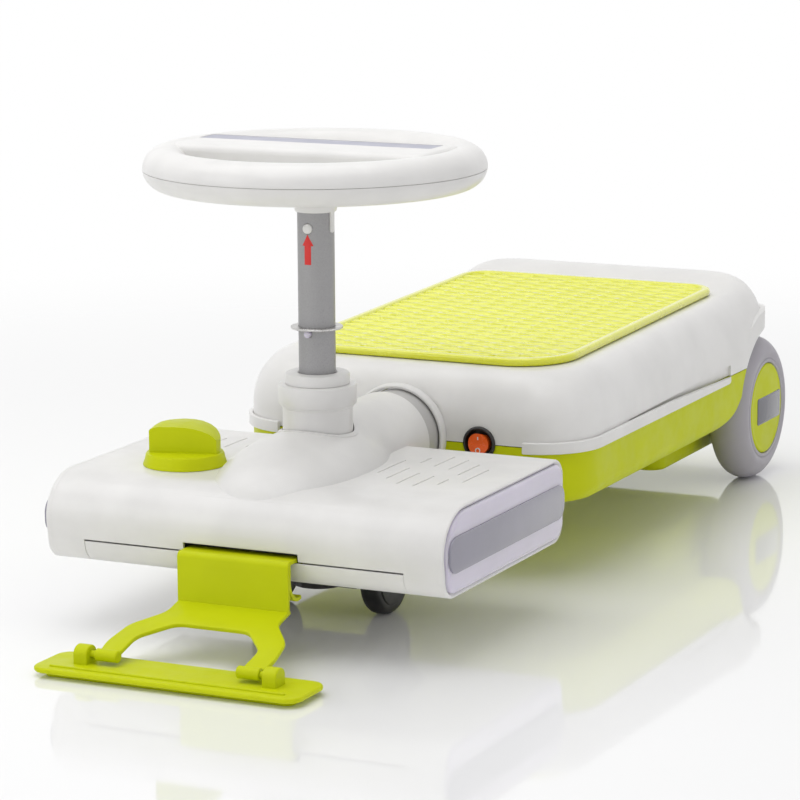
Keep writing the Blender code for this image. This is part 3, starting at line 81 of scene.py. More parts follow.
# Sizes read from the CAD nodes
WHEEL_HIGH = span("wheel_upper_shell")[1]
WHEEL_RADIUS = WHEEL_HIGH.x
WHEEL_TOP_Z = WHEEL_HIGH.z
WHEEL_BOTTOM_Z = span("wheel_lower_shell")[0].z
COLUMN_RADIUS = (COLUMN_HIGH.x - COLUMN_LOW.x) / 2 / MM
COLUMN_BOTTOM_Z = COLUMN_LOW.z / MM
HEAD_LOW, HEAD_HIGH = span("head_base")
HEAD_HALF_WIDTH = HEAD_HIGH.x
HEAD_FRONT_Y = HEAD_LOW.y
HEAD_REAR_Y = HEAD_HIGH.y
HEAD_BOTTOM_Z = HEAD_LOW.z
STRIP_HALF_WIDTH = span("head_front_strip")[1].x + GAP
PARTING_Z = span("head_upper_casing")[0].z - GAP / 2
NECK_END_Y = span("head_upper_casing")[1].y
BODY_LOW, BODY_HIGH = span("body_upper_shell")
BODY_HALF_WIDTH = BODY_HIGH.x
BODY_FRONT_Y = BODY_LOW.y
BODY_REAR_Y = BODY_HIGH.y
BODY_BOTTOM_Z = span("body_lower_shell")[0].z
BODY_SEAM_Z = BODY_LOW.z - GAP / 2
BUMPER_LOW, BUMPER_HIGH = span("side_bumper_right")
PAD_LOW, PAD_HIGH = span("deck_pad")
TYRE_LOW, TYRE_HIGH = span("rear_tyre_right")
REAR_RADIUS = (TYRE_HIGH.z - TYRE_LOW.z) / 2
REAR_AXLE_Y = (TYRE_HIGH.y + TYRE_LOW.y) / 2
HUBCAP_LOW, HUBCAP_HIGH = span("hubcap_right")
COVER_LOW, COVER_HIGH = span("drive_cover")
LENS_HIGH = span("end_lens_right")[1]
PANEL_LOW, PANEL_HIGH = span("end_panel_right")
KNOB_LOW, KNOB_HIGH = span("mode_knob")
KNOB_X = (KNOB_LOW.x + KNOB_HIGH.x) / 2
KNOB_Y = (KNOB_LOW.y + KNOB_HIGH.y) / 2
KNOB_RADIUS = (KNOB_HIGH.x - KNOB_LOW.x) / 2
ROCKER_LOW, ROCKER_HIGH = span("power_rocker")
ROCKER_MID_X = (ROCKER_LOW.x + ROCKER_HIGH.x) / 2
ROCKER_MID_Z = (ROCKER_LOW.z + ROCKER_HIGH.z) / 2
BEZEL_LOW, BEZEL_HIGH = span("switch_housing")
ARM_HIGH = span("mop_arm")[1]
PLATE_LOW, PLATE_HIGH = span("mop_plate")
PIN_LOW, PIN_HIGH = span("mop_pin_right")
MOP_AXLE_Y = (PIN_LOW.y + PIN_HIGH.y) / 2
MOP_AXLE_Z = (PIN_LOW.z + PIN_HIGH.z) / 2

# Shapes that no box gives
HEAD_TOP_Z = 138.0
NOSE_Z = 100.0
NOSE_DEPTH = 45.0
DOME_CENTRE = (0.0, -30.0, 120.0)
DOME_RADII = (66.5, 106.0, 50.0)
HOOD_BLEND = 14
NECK_RADIUS = 45.0
NECK_Z = 131.0
DECK_FRONT_Y = BODY_FRONT_Y + 37.0
DECK_FRONT_Z = 193.0
DECK_SLOPE = 0.0223
DECK_HALF_WIDTH = 144.0
DECK_REAR_Y = BODY_REAR_Y - 36.0
DECK_CORNER = 46.0
TAIL_RISE = 11.5
SHOULDER_Z = BODY_SEAM_Z + 15.0
BODY_CORNER = 58.0
ARCH_RADIUS = REAR_RADIUS + 12.5
ARCH_INNER_X = TYRE_LOW.x - 6.0
FLARE_RADIUS = 107.0
RIM_WIDTH = 40.0
PLATE_HALF_DEPTH = 42.0
WELL_RADIUS = 92.0
COLLAR_RADIUS = 31.0
HAUNCH_Y, HAUNCH_Z = 530.0, 138.0
HAUNCH_RADII = (100.0, 63.0)
BUTTON_RISE = 2.4
KNOB_TURN = 16.0
ARM_HALF = 53.0
ARM_FRONT_Y = HEAD_FRONT_Y - 13.0
SHEET_THICKNESS = 3.3
MOP_PLATE_TOP_Z = 9.0

# The deck pad and its wavy ribs
PAD_RIM_HEIGHT = 7.6
PAD_RIM_WIDTH = 9.0
SHEET_Z = 3.7
RIB_HEIGHT = 2.6
RIB_PITCH = 9.5
RIB_WAVE = 45.0
RIB_SWING = 2.5
RIB_HALF_WIDTH = 1.5
RIB_FLANK = 1.3

# The stage: angles in degrees, the floor's blend to plain white in metres from its middle
CAMERA_ANGLES = (25.459, 10.950, -0.36)
CAMERA_POSITION = (1350.5, -2668.2, 770.4)
FOCAL_SHARE = 4.325
WORLD_STRENGTH = 0.60
FLOOR_SIZE = 40.0
FLOOR_NEAR = 0.60
FLOOR_FAR = 1.9
FLOOR_LIFT = 0.02


# ---- materials -----------------------------------------------------------------------------------


def node_material(name, roughness, metallic=0.0, coat=0.0, specular=0.5):
    material = bpy.data.materials.new(name)
    material.use_nodes = True
    shader = material.node_tree.nodes["Principled BSDF"]
    shader.inputs["Metallic"].default_value = metallic
    shader.inputs["Roughness"].default_value = roughness
    shader.inputs["Coat Weight"].default_value = coat
    shader.inputs["Coat Roughness"].default_value = 0.08
    shader.inputs["Specular IOR Level"].default_value = specular
    return material, shader


def noise(tree, scale, detail=3.0, kind="ShaderNodeTexNoise"):
    place = tree.nodes.new("ShaderNodeTexCoord")
    texture = tree.nodes.new(kind)
    texture.inputs["Scale"].default_value = scale
    if "Detail" in texture.inputs:
        texture.inputs["Detail"].default_value = detail
    tree.links.new(place.outputs["Object"], texture.inputs["Vector"])
    return texture


def ramp(tree, source, low, high, start=0.35, end=0.65):
    """Turns a texture's value into a run between two colours or greys."""
    blend = tree.nodes.new("ShaderNodeValToRGB")
    for element, position, value in zip(blend.color_ramp.elements, (start, end), (low, high)):
        element.position = position
        element.color = (*value, 1.0) if hasattr(value, "__len__") else (value, value, value, 1.0)
    tree.links.new(source, blend.inputs["Fac"])
    return blend.outputs["Color"]


def add_bump(tree, shader, layers):
    """Adds bump from (texture scale, distance in mm) layers, coarse first."""
    normal = None
    for scale, distance in layers:
        bump = tree.nodes.new("ShaderNodeBump")
        bump.inputs["Strength"].default_value = 1.0
        bump.inputs["Distance"].default_value = distance * MM
        tree.links.new(noise(tree, scale).outputs["Fac"], bump.inputs["Height"])
        if normal:
            tree.links.new(normal, bump.inputs["Normal"])
        normal = bump.outputs["Normal"]
    tree.links.new(normal, shader.inputs["Normal"])


def moulded(name, colour, roughness, coat=0.0, grain=0.010, waviness=0.05, spread=0.03, specular=0.5):
    """Moulded plastic: slightly uneven colour and gloss, a fine skin and a faint waviness."""
    material, shader = node_material(name, roughness, coat=coat, specular=specular)
    tree = material.node_tree
    low = tuple(c * (1.0 - spread) for c in colour)
    high = tuple(min(c * (1.0 + spread), 1.0) for c in colour)
    tree.links.new(ramp(tree, noise(tree, 22.0, 4.0).outputs["Fac"], low, high), shader.inputs["Base Color"])
    gloss = ramp(tree, noise(tree, 60.0, 5.0).outputs["Fac"], roughness * 0.85, min(roughness * 1.2, 1.0))
    tree.links.new(gloss, shader.inputs["Roughness"])
    add_bump(tree, shader, ((9.0, waviness), (1800.0, grain)))
    return material


def flake_paint(name):
    """Grey metallic paint with fine bright and dark flakes on a steel tube."""
    material, shader = node_material(name, 0.45, metallic=0.45, specular=0.3)
    tree = material.node_tree
    flakes = noise(tree, 2600.0, kind="ShaderNodeTexVoronoi")
    flake_colour = ramp(tree, flakes.outputs["Color"], (0.235, 0.23, 0.235), (0.37, 0.365, 0.37), 0.1, 0.9)
    tree.links.new(flake_colour, shader.inputs["Base Color"])
    tree.links.new(ramp(tree, noise(tree, 700.0).outputs["Fac"], 0.38, 0.52), shader.inputs["Roughness"])
    add_bump(tree, shader, ((500.0, 0.02), (1500.0, 0.010)))
    return material


def plated(name, colour, roughness):
    material, shader = node_material(name, roughness, metallic=0.95)
    tree = material.node_tree
    low = tuple(c * 0.85 for c in colour)
    tint = ramp(tree, noise(tree, 120.0, 5.0).outputs["Fac"], low, colour)
    tree.links.new(tint, shader.inputs["Base Color"])
    gloss = ramp(tree, noise(tree, 300.0, 5.0).outputs["Fac"], roughness * 0.8, roughness * 1.3)
    tree.links.new(gloss, shader.inputs["Roughness"])
    add_bump(tree, shader, ((800.0, 0.01),))
    return material


def milky(name, colour):
    """Translucent cover: light spreads below a glossy skin."""
    material = moulded(name, colour, 0.16, coat=0.4, grain=0.004, waviness=0.06, spread=0.03)
    shader = material.node_tree.nodes["Principled BSDF"]
    shader.inputs["Subsurface Weight"].default_value = 0.35
    shader.inputs["Subsurface Radius"].default_value = (0.006, 0.005, 0.008)
    shader.inputs["Subsurface Scale"].default_value = 1.0
    return material


WHITE = moulded("white_shell", (0.80, 0.79, 0.775), 0.33, coat=0.12)
LIME = moulded("lime_shell", (0.59, 0.65, 0.004), 0.42, spread=0.02, specular=0.14)
PAD_LIME = moulded("pad_lime", (0.76, 0.78, 0.004), 0.30, coat=1.0, grain=0.003, waviness=0.02, spread=0.015)
TYRE_GREY = moulded("tyre_lilac_grey", (0.42, 0.40, 0.44), 0.46, grain=0.02, waviness=0.08)
TYRE_BLACK = moulded("tyre_black", (0.012, 0.012, 0.012), 0.42, grain=0.02)
BLACK = moulded("black_plastic", (0.020, 0.019, 0.018), 0.38, grain=0.015)
ORANGE = moulded("rocker_orange", (0.97, 0.13, 0.012), 0.25, coat=0.2)
LENS = milky("milky_lens", (0.66, 0.62, 0.73))
PANEL = moulded("panel_dark", (0.25, 0.24, 0.30), 0.12, coat=0.6, grain=0.002)
PANEL_PALE = moulded("panel_pale", (0.42, 0.42, 0.50), 0.45, grain=0.001, waviness=0.002)
# Painted shade: a dark brown-grey for the wheel's hidden core, which shows through the seam between the
# wheel's halves in place of the shade in that gap.
PAINTED_SEAM_SHADE = moulded("seam_painted_shade", (0.36, 0.33, 0.30), 0.6)
PLATE_DARK = moulded("hub_plate_dark", (0.085, 0.085, 0.11), 0.22, coat=0.4, grain=0.004)
COLUMN_GREY = flake_paint("column_flake_grey")
STEEL = plated("zinc_plate", (0.62, 0.61, 0.60), 0.30)
BOARD = moulded("board_green", (0.03, 0.20, 0.08), 0.35, grain=0.03)
BUSHING = moulded("bushing_natural", (0.66, 0.64, 0.58), 0.5)
RED = moulded("red_mark", (0.70, 0.025, 0.02), 0.4)
# Painted shade: the neck sleeve's mid grey stands in for the shade in the recessed band between the head's
# neck and the body's ring lip.
SPIGOT_PAINTED_SHADE = moulded("spigot_painted_shade", (0.52, 0.51, 0.50), 0.4)


# ---- shapes --------------------------------------------------------------------------------------


def arc(centre, radii, start, end, steps):
    """Points on an ellipse from one angle to another, in degrees."""
    angles = [math.radians(start + (end - start) * i / steps) for i in range(steps + 1)]
    return [(centre[0] + radii[0] * math.cos(a), centre[1] + radii[1] * math.sin(a)) for a in angles]


def rounded_rectangle(x0, x1, y0, y1, radius, steps=16):
    """A rectangle with round corners, anticlockwise from its right front corner."""
    points = []
    for x, y, start in (
        (x1 - radius, y0 + radius, -90),
        (x1 - radius, y1 - radius, 0),
        (x0 + radius, y1 - radius, 90),
        (x0 + radius, y0 + radius, 180),
    ):
        points += arc((x, y), (radius, radius), start, start + 90, steps)
    return points


def new_object(name, mesh):
    obj = bpy.data.objects.new(name, mesh)
    bpy.context.scene.collection.objects.link(obj)
    return obj


def mesh_from(bm):
    bmesh.ops.recalc_face_normals(bm, faces=bm.faces)
    if bm.calc_volume(signed=True) < 0.0:
        bmesh.ops.reverse_faces(bm, faces=bm.faces)
    mesh = bpy.data.meshes.new("shape")
    bm.to_mesh(mesh)
    bm.free()
    return mesh


def loft(name, rings, strips=False):
    """Skins rings of points and caps both ends. strips caps the last ring in strips across X."""
    bm = bmesh.new()
    loops = [[bm.verts.new(point(*p)) for p in ring] for ring in rings]
    for lower, upper in zip(loops, loops[1:]):
        for i, vert in enumerate(lower):
            following = (i + 1) % len(lower)
            bm.faces.new((vert, lower[following], upper[following], upper[i]))
    bm.faces.new(loops[0][::-1])
    last = loops[-1]
    if strips:
        for i in range(len(last) // 2 - 1):
            bm.faces.new((last[i], last[i + 1], last[-2 - i], last[-1 - i]))
    else:
        bm.faces.new(last)
    return new_object(name, mesh_from(bm))


def prism(name, outline, start, end, axis="X", edge=0.0, resolution=4):
    """An outline with a thickness and rounded edges.

    Its points are (Y, Z) for axis X, (X, Z) for axis Y and (X, Y) for axis Z.
    The outline may be a list of outlines, the first the outside and the rest holes.
    """
    outlines = outline if isinstance(outline[0], list) else [outline]
    curve = bpy.data.curves.new("outline", "CURVE")
    curve.dimensions = "2D"
    curve.fill_mode = "BOTH"
    curve.extrude = (abs(end - start) / 2 - edge) * MM
    curve.bevel_depth = edge * MM
    curve.bevel_resolution = resolution
    curve.offset = -edge * MM
    for points in outlines:
        spline = curve.splines.new("POLY")
        spline.points.add(len(points) - 1)
        for target, (a, b) in zip(spline.points, points):
            target.co = (a * MM, b * MM, 0.0, 1.0)
        spline.use_cyclic_u = True
    guide = new_object("outline", curve)
    graph = bpy.context.evaluated_depsgraph_get()
    raw = bpy.data.meshes.new_from_object(guide.evaluated_get(graph))
    bpy.data.objects.remove(guide)
    bm = bmesh.new()
    bm.from_mesh(raw)
    bpy.data.meshes.remove(raw)
    bmesh.ops.remove_doubles(bm, verts=bm.verts, dist=0.000005)
    middle = (start + end) / 2
    turns = {
        "X": Matrix(((0, 0, 1, 0), (1, 0, 0, 0), (0, 1, 0, 0), (0, 0, 0, 1))),
        "Y": Matrix(((1, 0, 0, 0), (0, 0, -1, 0), (0, 1, 0, 0), (0, 0, 0, 1))),
        "Z": Matrix.Identity(4),
    }
    shift = {"X": (middle, 0.0, 0.0), "Y": (0.0, middle, 0.0), "Z": (0.0, 0.0, middle)}[axis]
    bm.transform(Matrix.Translation(point(*shift)) @ turns[axis])
    return new_object(name, mesh_from(bm))


def lathe(name, profile, centre, axis="Z", steps=96, sign=1.0):
    """Turns a closed profile of (radius, distance along the axis) points about an axis through centre."""
    bm = bmesh.new()
    angles = [2.0 * math.pi * (i + 0.5) / steps for i in range(steps)]
    columns = []
    for radius, along in profile:
        if radius < 0.001:
            columns.append([bm.verts.new(on_axis(centre, axis, 0.0, 0.0, sign * along))])
        else:
            ring = [(radius * math.cos(a), radius * math.sin(a), sign * along) for a in angles]
            columns.append([bm.verts.new(on_axis(centre, axis, *place)) for place in ring])
    pairs = list(zip(columns, columns[1:]))
    if profile[0][0] >= 0.001 and profile[-1][0] >= 0.001:
        pairs.append((columns[-1], columns[0]))
    for a, b in pairs:
        for i in range(steps):
            j = (i + 1) % steps
            corners = [a[i % len(a)], a[j % len(a)], b[j % len(b)], b[i % len(b)]]
            unique = list(dict.fromkeys(corners))
            if len(unique) > 2:
                bm.faces.new(unique)
    return new_object(name, mesh_from(bm))


def rod(name, radius, low, high, centre, axis="Z", steps=96):
    """A cylinder from low to high along an axis through centre."""
    return lathe(name, [(0.0, low), (radius, low), (radius, high), (0.0, high)], centre, axis, steps)


def on_axis(centre, axis, a, b, along):
    x, y, z = centre
    if axis == "X":
        return point(x + along, y + a, z + b)
    if axis == "Y":
        return point(x + b, y + along, z + a)
    return point(x + a, y + b, z + along)


def block(name, low, high, edge=0.0):
    outline = [(low[0], low[1]), (high[0], low[1]), (high[0], high[1]), (low[0], high[1])]
    return prism(name, outline, low[2], high[2], "Z", edge)


def boolean(obj, operation, *others):
    """Applies obj's modifiers and a boolean with each other object, and removes the other objects."""
    for other in others:
        modifier = obj.modifiers.new("boolean", "BOOLEAN")
        modifier.operation = operation
        modifier.object = other
        modifier.solver = "EXACT"
    graph = bpy.context.evaluated_depsgraph_get()
    mesh = bpy.data.meshes.new_from_object(obj.evaluated_get(graph))
    obj.modifiers.clear()
    obj.data = mesh
    for other in others:
        bpy.data.objects.remove(other)
    return obj


def cut(obj, *others):
    return boolean(obj, "DIFFERENCE", *others)


def unite(obj, *others):
    return boolean(obj, "UNION", *others)


def clip(obj, *others):
    return boolean(obj, "INTERSECT", *others)


def merge(name, objects):
    """Puts separate closed meshes into one object."""
    bm = bmesh.new()
    for obj in objects:
        bm.from_mesh(obj.data)
        bpy.data.objects.remove(obj)
    mesh = bpy.data.meshes.new(name)
    bm.to_mesh(mesh)
    bm.free()
    return new_object(name, mesh)


def soften(obj, width, angle=40.0, segments=3):
    """Rounds the sharp edges."""
    bevel = obj.modifiers.new("soften", "BEVEL")
    bevel.width = width * MM
    bevel.segments = segments
    bevel.limit_method = "ANGLE"
    bevel.angle_limit = math.radians(angle)
    return obj


def finish_piece(obj, material, body, *replaced, smooth=35.0):
    """Gives a piece its material, shading and body, and hides the CAD nodes that it stands for."""
    obj.data.materials.clear()
    obj.data.materials.append(material)
    obj.data.shade_smooth()
    obj.data.set_sharp_from_angle(angle=math.radians(smooth))
    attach(obj, body)
    if replaced:
        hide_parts(*replaced)
    return obj


def sides(make):
    for side, sign in (("left", -1.0), ("right", 1.0)):
        make(side, sign)


def pair(make, *values):
    """A cutter on the left and its mirror image on the right."""
    return [make("cutter", *values, sign) for sign in (-1.0, 1.0)]


def tilted(angle, x, y, z):
    """Turns a shape about X at its own origin, which goes to (x, y, z)."""
    move = Matrix.Translation(point(x, y, z)) @ Matrix.Rotation(angle, 4, "X")
    return move @ Matrix.Translation(-point(0.0, 0.0, 0.0))


# ---- steering wheel and column -------------------------------------------------------------------


def wheel_ring(name, inset):
    """The wheel's rim: a full, slightly flattened round section."""
    middle = WHEEL_RADIUS - RIM_WIDTH / 2
    centre_z = (WHEEL_TOP_Z - 1.0 + WHEEL_BOTTOM_Z) / 2
    across = RIM_WIDTH / 2 - inset
    up = (WHEEL_TOP_Z - 1.0 - WHEEL_BOTTOM_Z) / 2 - inset
    profile = []
    for i in range(56):
        angle = 2.0 * math.pi * i / 56
        c, s = math.cos(angle), math.sin(angle)
        profile.append((middle + across * c, centre_z + up * s))
    return lathe(name, profile, (0.0, 0.0, 0.0), steps=176)


def wheel_plate(name, inset):
    """The plate across the wheel, rounded along its front and back edges."""
    half = WHEEL_RADIUS - RIM_WIDTH / 2 - 6.0 - inset
    outline = rounded_rectangle(-half, half, -PLATE_HALF_DEPTH + inset, PLATE_HALF_DEPTH - inset, 11.0, 8)
    return prism(name, outline, WHEEL_BOTTOM_Z + 2.5 + inset, WHEEL_TOP_Z - inset, "Z", 7.0 - inset, 8)


def steering_wheel():
    seam = (WHEEL_TOP_Z + WHEEL_BOTTOM_Z) / 2 - 1.6
    reach = WHEEL_RADIUS + 20.0
    radius = COLUMN_RADIUS + GAP
    recess = rounded_rectangle(-117.0, 109.0, 3.0, 32.0, 3.0, 6)
    for name, low, high in (
        ("wheel_upper_shell", seam + 0.22, WHEEL_TOP_Z + 10.0),
        ("wheel_lower_shell", WHEEL_BOTTOM_Z - 10.0, seam - 0.22),
    ):
        shell = unite(wheel_ring("trim_" + name, 0.0), wheel_plate("plate", 0.0))
        clip(shell, block("half", (-reach, -reach, low), (reach, reach, high)))
        if "upper" in name:
            cut(shell, prism("label_recess", recess, WHEEL_TOP_Z - 0.7, WHEEL_TOP_Z + 5.0, "Z"))
        cut(shell, column_bore(radius))
        finish_piece(shell, WHITE, "steering", name, smooth=45.0)
    # A core just inside both halves, in the painted-shade colour, darkens the seam gap as its shade would.
    core = unite(wheel_ring("trim_wheel_core", 1.4), wheel_plate("plate", 1.4))
    cut(core, column_bore(radius))
    finish_piece(core, PAINTED_SEAM_SHADE, "steering")
    inner = rounded_rectangle(-116.0, 108.0, 4.0, 31.0, 2.0, 6)
    panel = prism("wheel_panel", inner, WHEEL_TOP_Z - 0.8, WHEEL_TOP_Z - 0.35, "Z")
    finish_piece(panel, PANEL_PALE, "steering")


def column_bore(radius):
    return lathe("bore", [(radius, -5.0), (radius, 20.0), (0.0, 20.0), (0.0, -5.0)], (0, 0, WHEEL_BOTTOM_Z))


def wheel_hub():
    top = WHEEL_BOTTOM_Z - GAP
    bore = COLUMN_RADIUS + GAP
    profile = [
        (29.0, top), (28.5, top - 1.2), (24.0, top - 4.5), (21.0, top - 6.0), (19.0, top - 8.0),
        (18.4, top - 19.4), (17.8, top - 20.4), (bore, top - 20.4), (bore, top),
    ]
    hub = lathe("trim_wheel_hub", profile, (0.0, 0.0, 0.0))
    rib = prism("hub_rib", rounded_rectangle(-2.3, 2.3, 342.5, 368.0, 2.1, 6), -1.2, 1.2, "Y", 0.5)
    turn = Matrix.Rotation(math.radians(82.0), 4, "Z")
    out = Matrix.Translation((0.0, -(COLUMN_RADIUS + 0.75) * MM, 0.0))
    origin = Matrix.Translation(point(0.0, 0.0, 0.0))
    rib.data.transform(origin @ turn @ out @ origin.inverted())
    unite(hub, rib)
    finish_piece(hub, WHITE, "steering", "wheel_hub")


def column():
    radius = COLUMN_RADIUS
    top = COLUMN_HIGH.z / MM
    bore = radius - 1.5
    profile = [(radius, COLUMN_BOTTOM_Z), (radius, top), (bore, top), (bore, COLUMN_BOTTOM_Z)]
    tube = lathe("trim_column", profile, (0.0, 0.0, 0.0))
    button_low, button_high = span("snap_button")
    button_low.z += BUTTON_RISE
    button_high.z += BUTTON_RISE
    stop_low, stop_high = span("washer_stop")
    for low, high in ((button_low, button_high), (stop_low, stop_high)):
        hole = (high.z - low.z) / 2 - 1.7
        z = (low.z + high.z) / 2
        cut(tube, rod("hole", hole, -10.0, 8.0, (0.0, -radius, z), "Y", 40))
    cut(tube, rod("bolt", 3.3, -40.0, 40.0, (0.0, 0.0, 66.0), "X", 24))
    finish_piece(tube, COLUMN_GREY, "steering", "steering_column")
    z = (button_low.z + button_high.z) / 2
    face = button_low.y
    profile = [
        (0.0, 0.0), (3.4, 0.25), (4.2, 0.9), (4.5, 2.0), (4.5, 5.0), (6.2, 5.0), (6.2, 7.0), (0.0, 7.0),
    ]
    button = lathe("trim_snap_button", profile, (0.0, face, z), "Y", 40)
    finish_piece(button, WHITE, "snap_button", "snap_button")
    column_arrow(z - 4.9)
    low, high = span("column_washer")
    outer = high.x
    bore = radius + GAP
    washer = [(outer - 0.4, low.z), (outer, low.z + 0.4), (outer, high.z - 0.4), (outer - 0.4, high.z)]
    washer += [(bore, high.z), (bore, low.z)]
    finish_piece(lathe("trim_washer", washer, (0, 0, 0)), STEEL, "steering", "column_washer")


def column_arrow(tip):
    """The arrow below the button, bent round the tube."""
    radius = COLUMN_RADIUS
    neck_z = tip - 10.0
    bm = bmesh.new()
    rows = [(tip - 0.05, 0.05), (neck_z + 0.01, 5.4), (neck_z, 3.1), (tip - 26.6, 3.1)]
    grid = []
    for h, half in rows:
        row = []
        for lift in (0.04, 0.22):
            for k in range(13):
                turn = (half * (k - 6) / 6) / radius
                across, out = (radius + lift) * math.sin(turn), (radius + lift) * math.cos(turn)
                row.append(bm.verts.new(point(across, -out, h)))
        grid.append(row)
    for upper, lower in zip(grid, grid[1:]):
        for k in range(12):
            bm.faces.new((upper[13 + k], upper[14 + k], lower[14 + k], lower[13 + k]))
            bm.faces.new((upper[k + 1], upper[k], lower[k], lower[k + 1]))
        bm.faces.new((upper[0], upper[13], lower[13], lower[0]))
        bm.faces.new((upper[25], upper[12], lower[12], lower[25]))
    for row, flip in ((grid[0], False), (grid[-1], True)):
        for k in range(12):
            face = (row[k], row[k + 1], row[14 + k], row[13 + k])
            bm.faces.new(face[::-1] if flip else face)
    finish_piece(new_object("column_arrow", mesh_from(bm)), RED, "steering")


def collar():
    low, high = span("column_collar")
    ring_low, ring_high = span("collar_ring")
    band = high.x
    sleeve = COLLAR_RADIUS
    band_z = 190.0
    bore = span("upper_bushing")[1].x + GAP
    profile = [
        (band - 2.6, high.z), (band - 0.8, high.z - 0.5), (band, high.z - 2.2),
        (band - 0.3, band_z + 1.0), (band - 1.0, band_z), (sleeve + 0.9, band_z - 0.3),
        (sleeve + 0.9, band_z - 2.2), (sleeve, band_z - 2.8), (sleeve, low.z), (27.0, low.z),
        (27.0, band_z - 3.0), (bore, band_z - 3.0), (bore, high.z),
    ]
    finish_piece(lathe("trim_collar", profile, (0, 0, 0), steps=128), WHITE, "chassis", "column_collar")
    outer = ring_high.x
    bore = COLUMN_RADIUS + 2 * GAP
    ring = [
        (outer, ring_low.z), (outer, ring_high.z - 2.0), (outer - 0.6, ring_high.z - 0.6),
        (outer - 2.0, ring_high.z), (bore + 1.0, ring_high.z), (bore, ring_high.z - 1.0),
        (bore, ring_low.z),
    ]
    finish_piece(lathe("trim_collar_ring", ring, (0, 0, 0), steps=128), WHITE, "chassis", "collar_ring")


# ---- head ----------------------------------------------------------------------------------------


def head_outline(inset=0.0):
    """The head's side view as (Y, Z) points, moved inwards by inset."""
    front = HEAD_FRONT_Y + inset
    rear = HEAD_REAR_Y - inset
    top = HEAD_TOP_Z - inset
    bottom = HEAD_BOTTOM_Z + inset
    rounding = max(19.0 - inset, 5.0)
    chin = max(20.0 - inset, 6.0)
    points = arc((HEAD_FRONT_Y + NOSE_DEPTH, NOSE_Z), (NOSE_DEPTH - inset, top - NOSE_Z), 90, 180, 36)
    points += [(front + 0.5, NOSE_Z - 6.0), (front + 1.6, NOSE_Z - 12.0)]
    points += arc((front + 2.6 + chin, bottom + chin), (chin, chin), 184, 270, 16)
    points += arc((rear - rounding, bottom + rounding), (rounding, rounding), 270, 360, 14)
    points += arc((rear - rounding, top - rounding), (rounding, rounding), 0, 90, 14)
    return points


def head_block(name, inset, half_width, edge=0.0):
    return prism(name, head_outline(inset), -half_width, half_width, "X", edge, 4)


def hood_reach(angle, y, middle_z, inset):
    """The hood's reach from its middle line in one direction: a blend of the dome and the neck."""
    along, up = math.cos(angle), math.sin(angle)
    share = min(abs(y - DOME_CENTRE[1]) / (DOME_RADII[1] - inset), 0.9999)
    half_width = (DOME_RADII[0] - inset) * (1.0 - share**2.6) ** (1.0 / 2.6)
    half_height = (DOME_RADII[2] - inset) * math.sqrt(1.0 - share**2)
    offset = (middle_z - DOME_CENTRE[2]) / half_height
    reach = 0.0
    if abs(offset) < 1.0:
        a = (along / half_width) ** 2 + (up / half_height) ** 2
        b = offset * up / half_height
        reach = (math.sqrt(b * b - a * (offset * offset - 1.0)) - b) / a
    radius = NECK_RADIUS - inset
    neck = radius if y >= 0.0 else math.sqrt(max(radius * radius - y * y, 0.0))
    return (reach**HOOD_BLEND + neck**HOOD_BLEND) ** (1.0 / HOOD_BLEND)


def hood(name, inset, count=110):
    radius_y = DOME_RADII[1] - inset
    stations = [DOME_CENTRE[1] - radius_y * math.cos(math.radians(6 + i * 84 / 34)) for i in range(35)]
    end = NECK_END_Y + (0.0 if inset == 0.0 else 10.0)
    stations += [DOME_CENTRE[1] + (end - DOME_CENTRE[1]) * (i + 1) / 36 for i in range(36)]
    rings = []
    for y in stations:
        share = min(max(1.0 + y / NECK_RADIUS, 0.0), 1.0)
        share = share * share * (3 - 2 * share)
        middle_z = DOME_CENTRE[2] + share * (NECK_Z - DOME_CENTRE[2])
        ring = []
        for i in range(count):
            angle = math.radians(360 * (i + 0.5) / count)
            reach = hood_reach(angle, y, middle_z, inset)
            ring.append((reach * math.cos(angle), y, middle_z + reach * math.sin(angle)))
        rings.append(ring)
    return loft(name, rings)


GRILLE = (
    (70.0, ((-25.0, 33.0),)),
    (87.0, ((-43.0, 5.0), (27.0, 50.0))),
    (104.0, ((-59.0, -11.0), (18.0, 63.0))),
    (121.0, ((-62.0, -18.0), (11.0, 55.0))),
    (138.0, ((-48.0, -25.0), (-6.0, 41.0))),
    (154.0, ((-32.0, 24.0),)),
)


def grille(name):
    """Cutters for the staggered slots on both ends of the head's top."""
    slots = []
    for sign in (-1.0, 1.0):
        for x, runs in GRILLE:
            if sign < 0 and abs(sign * x - KNOB_X) < KNOB_RADIUS + 6.0:
                runs = tuple(r for r in runs if r[0] > KNOB_Y + KNOB_RADIUS + 3.0)
            for start, end in runs:
                outline = rounded_rectangle(sign * x - 0.75, sign * x + 0.75, start, end, 0.7, 4)
                slots.append(prism("slot", outline, HEAD_TOP_Z - 0.7, HEAD_TOP_Z + 2.0, "Z"))
    return merge(name, slots)


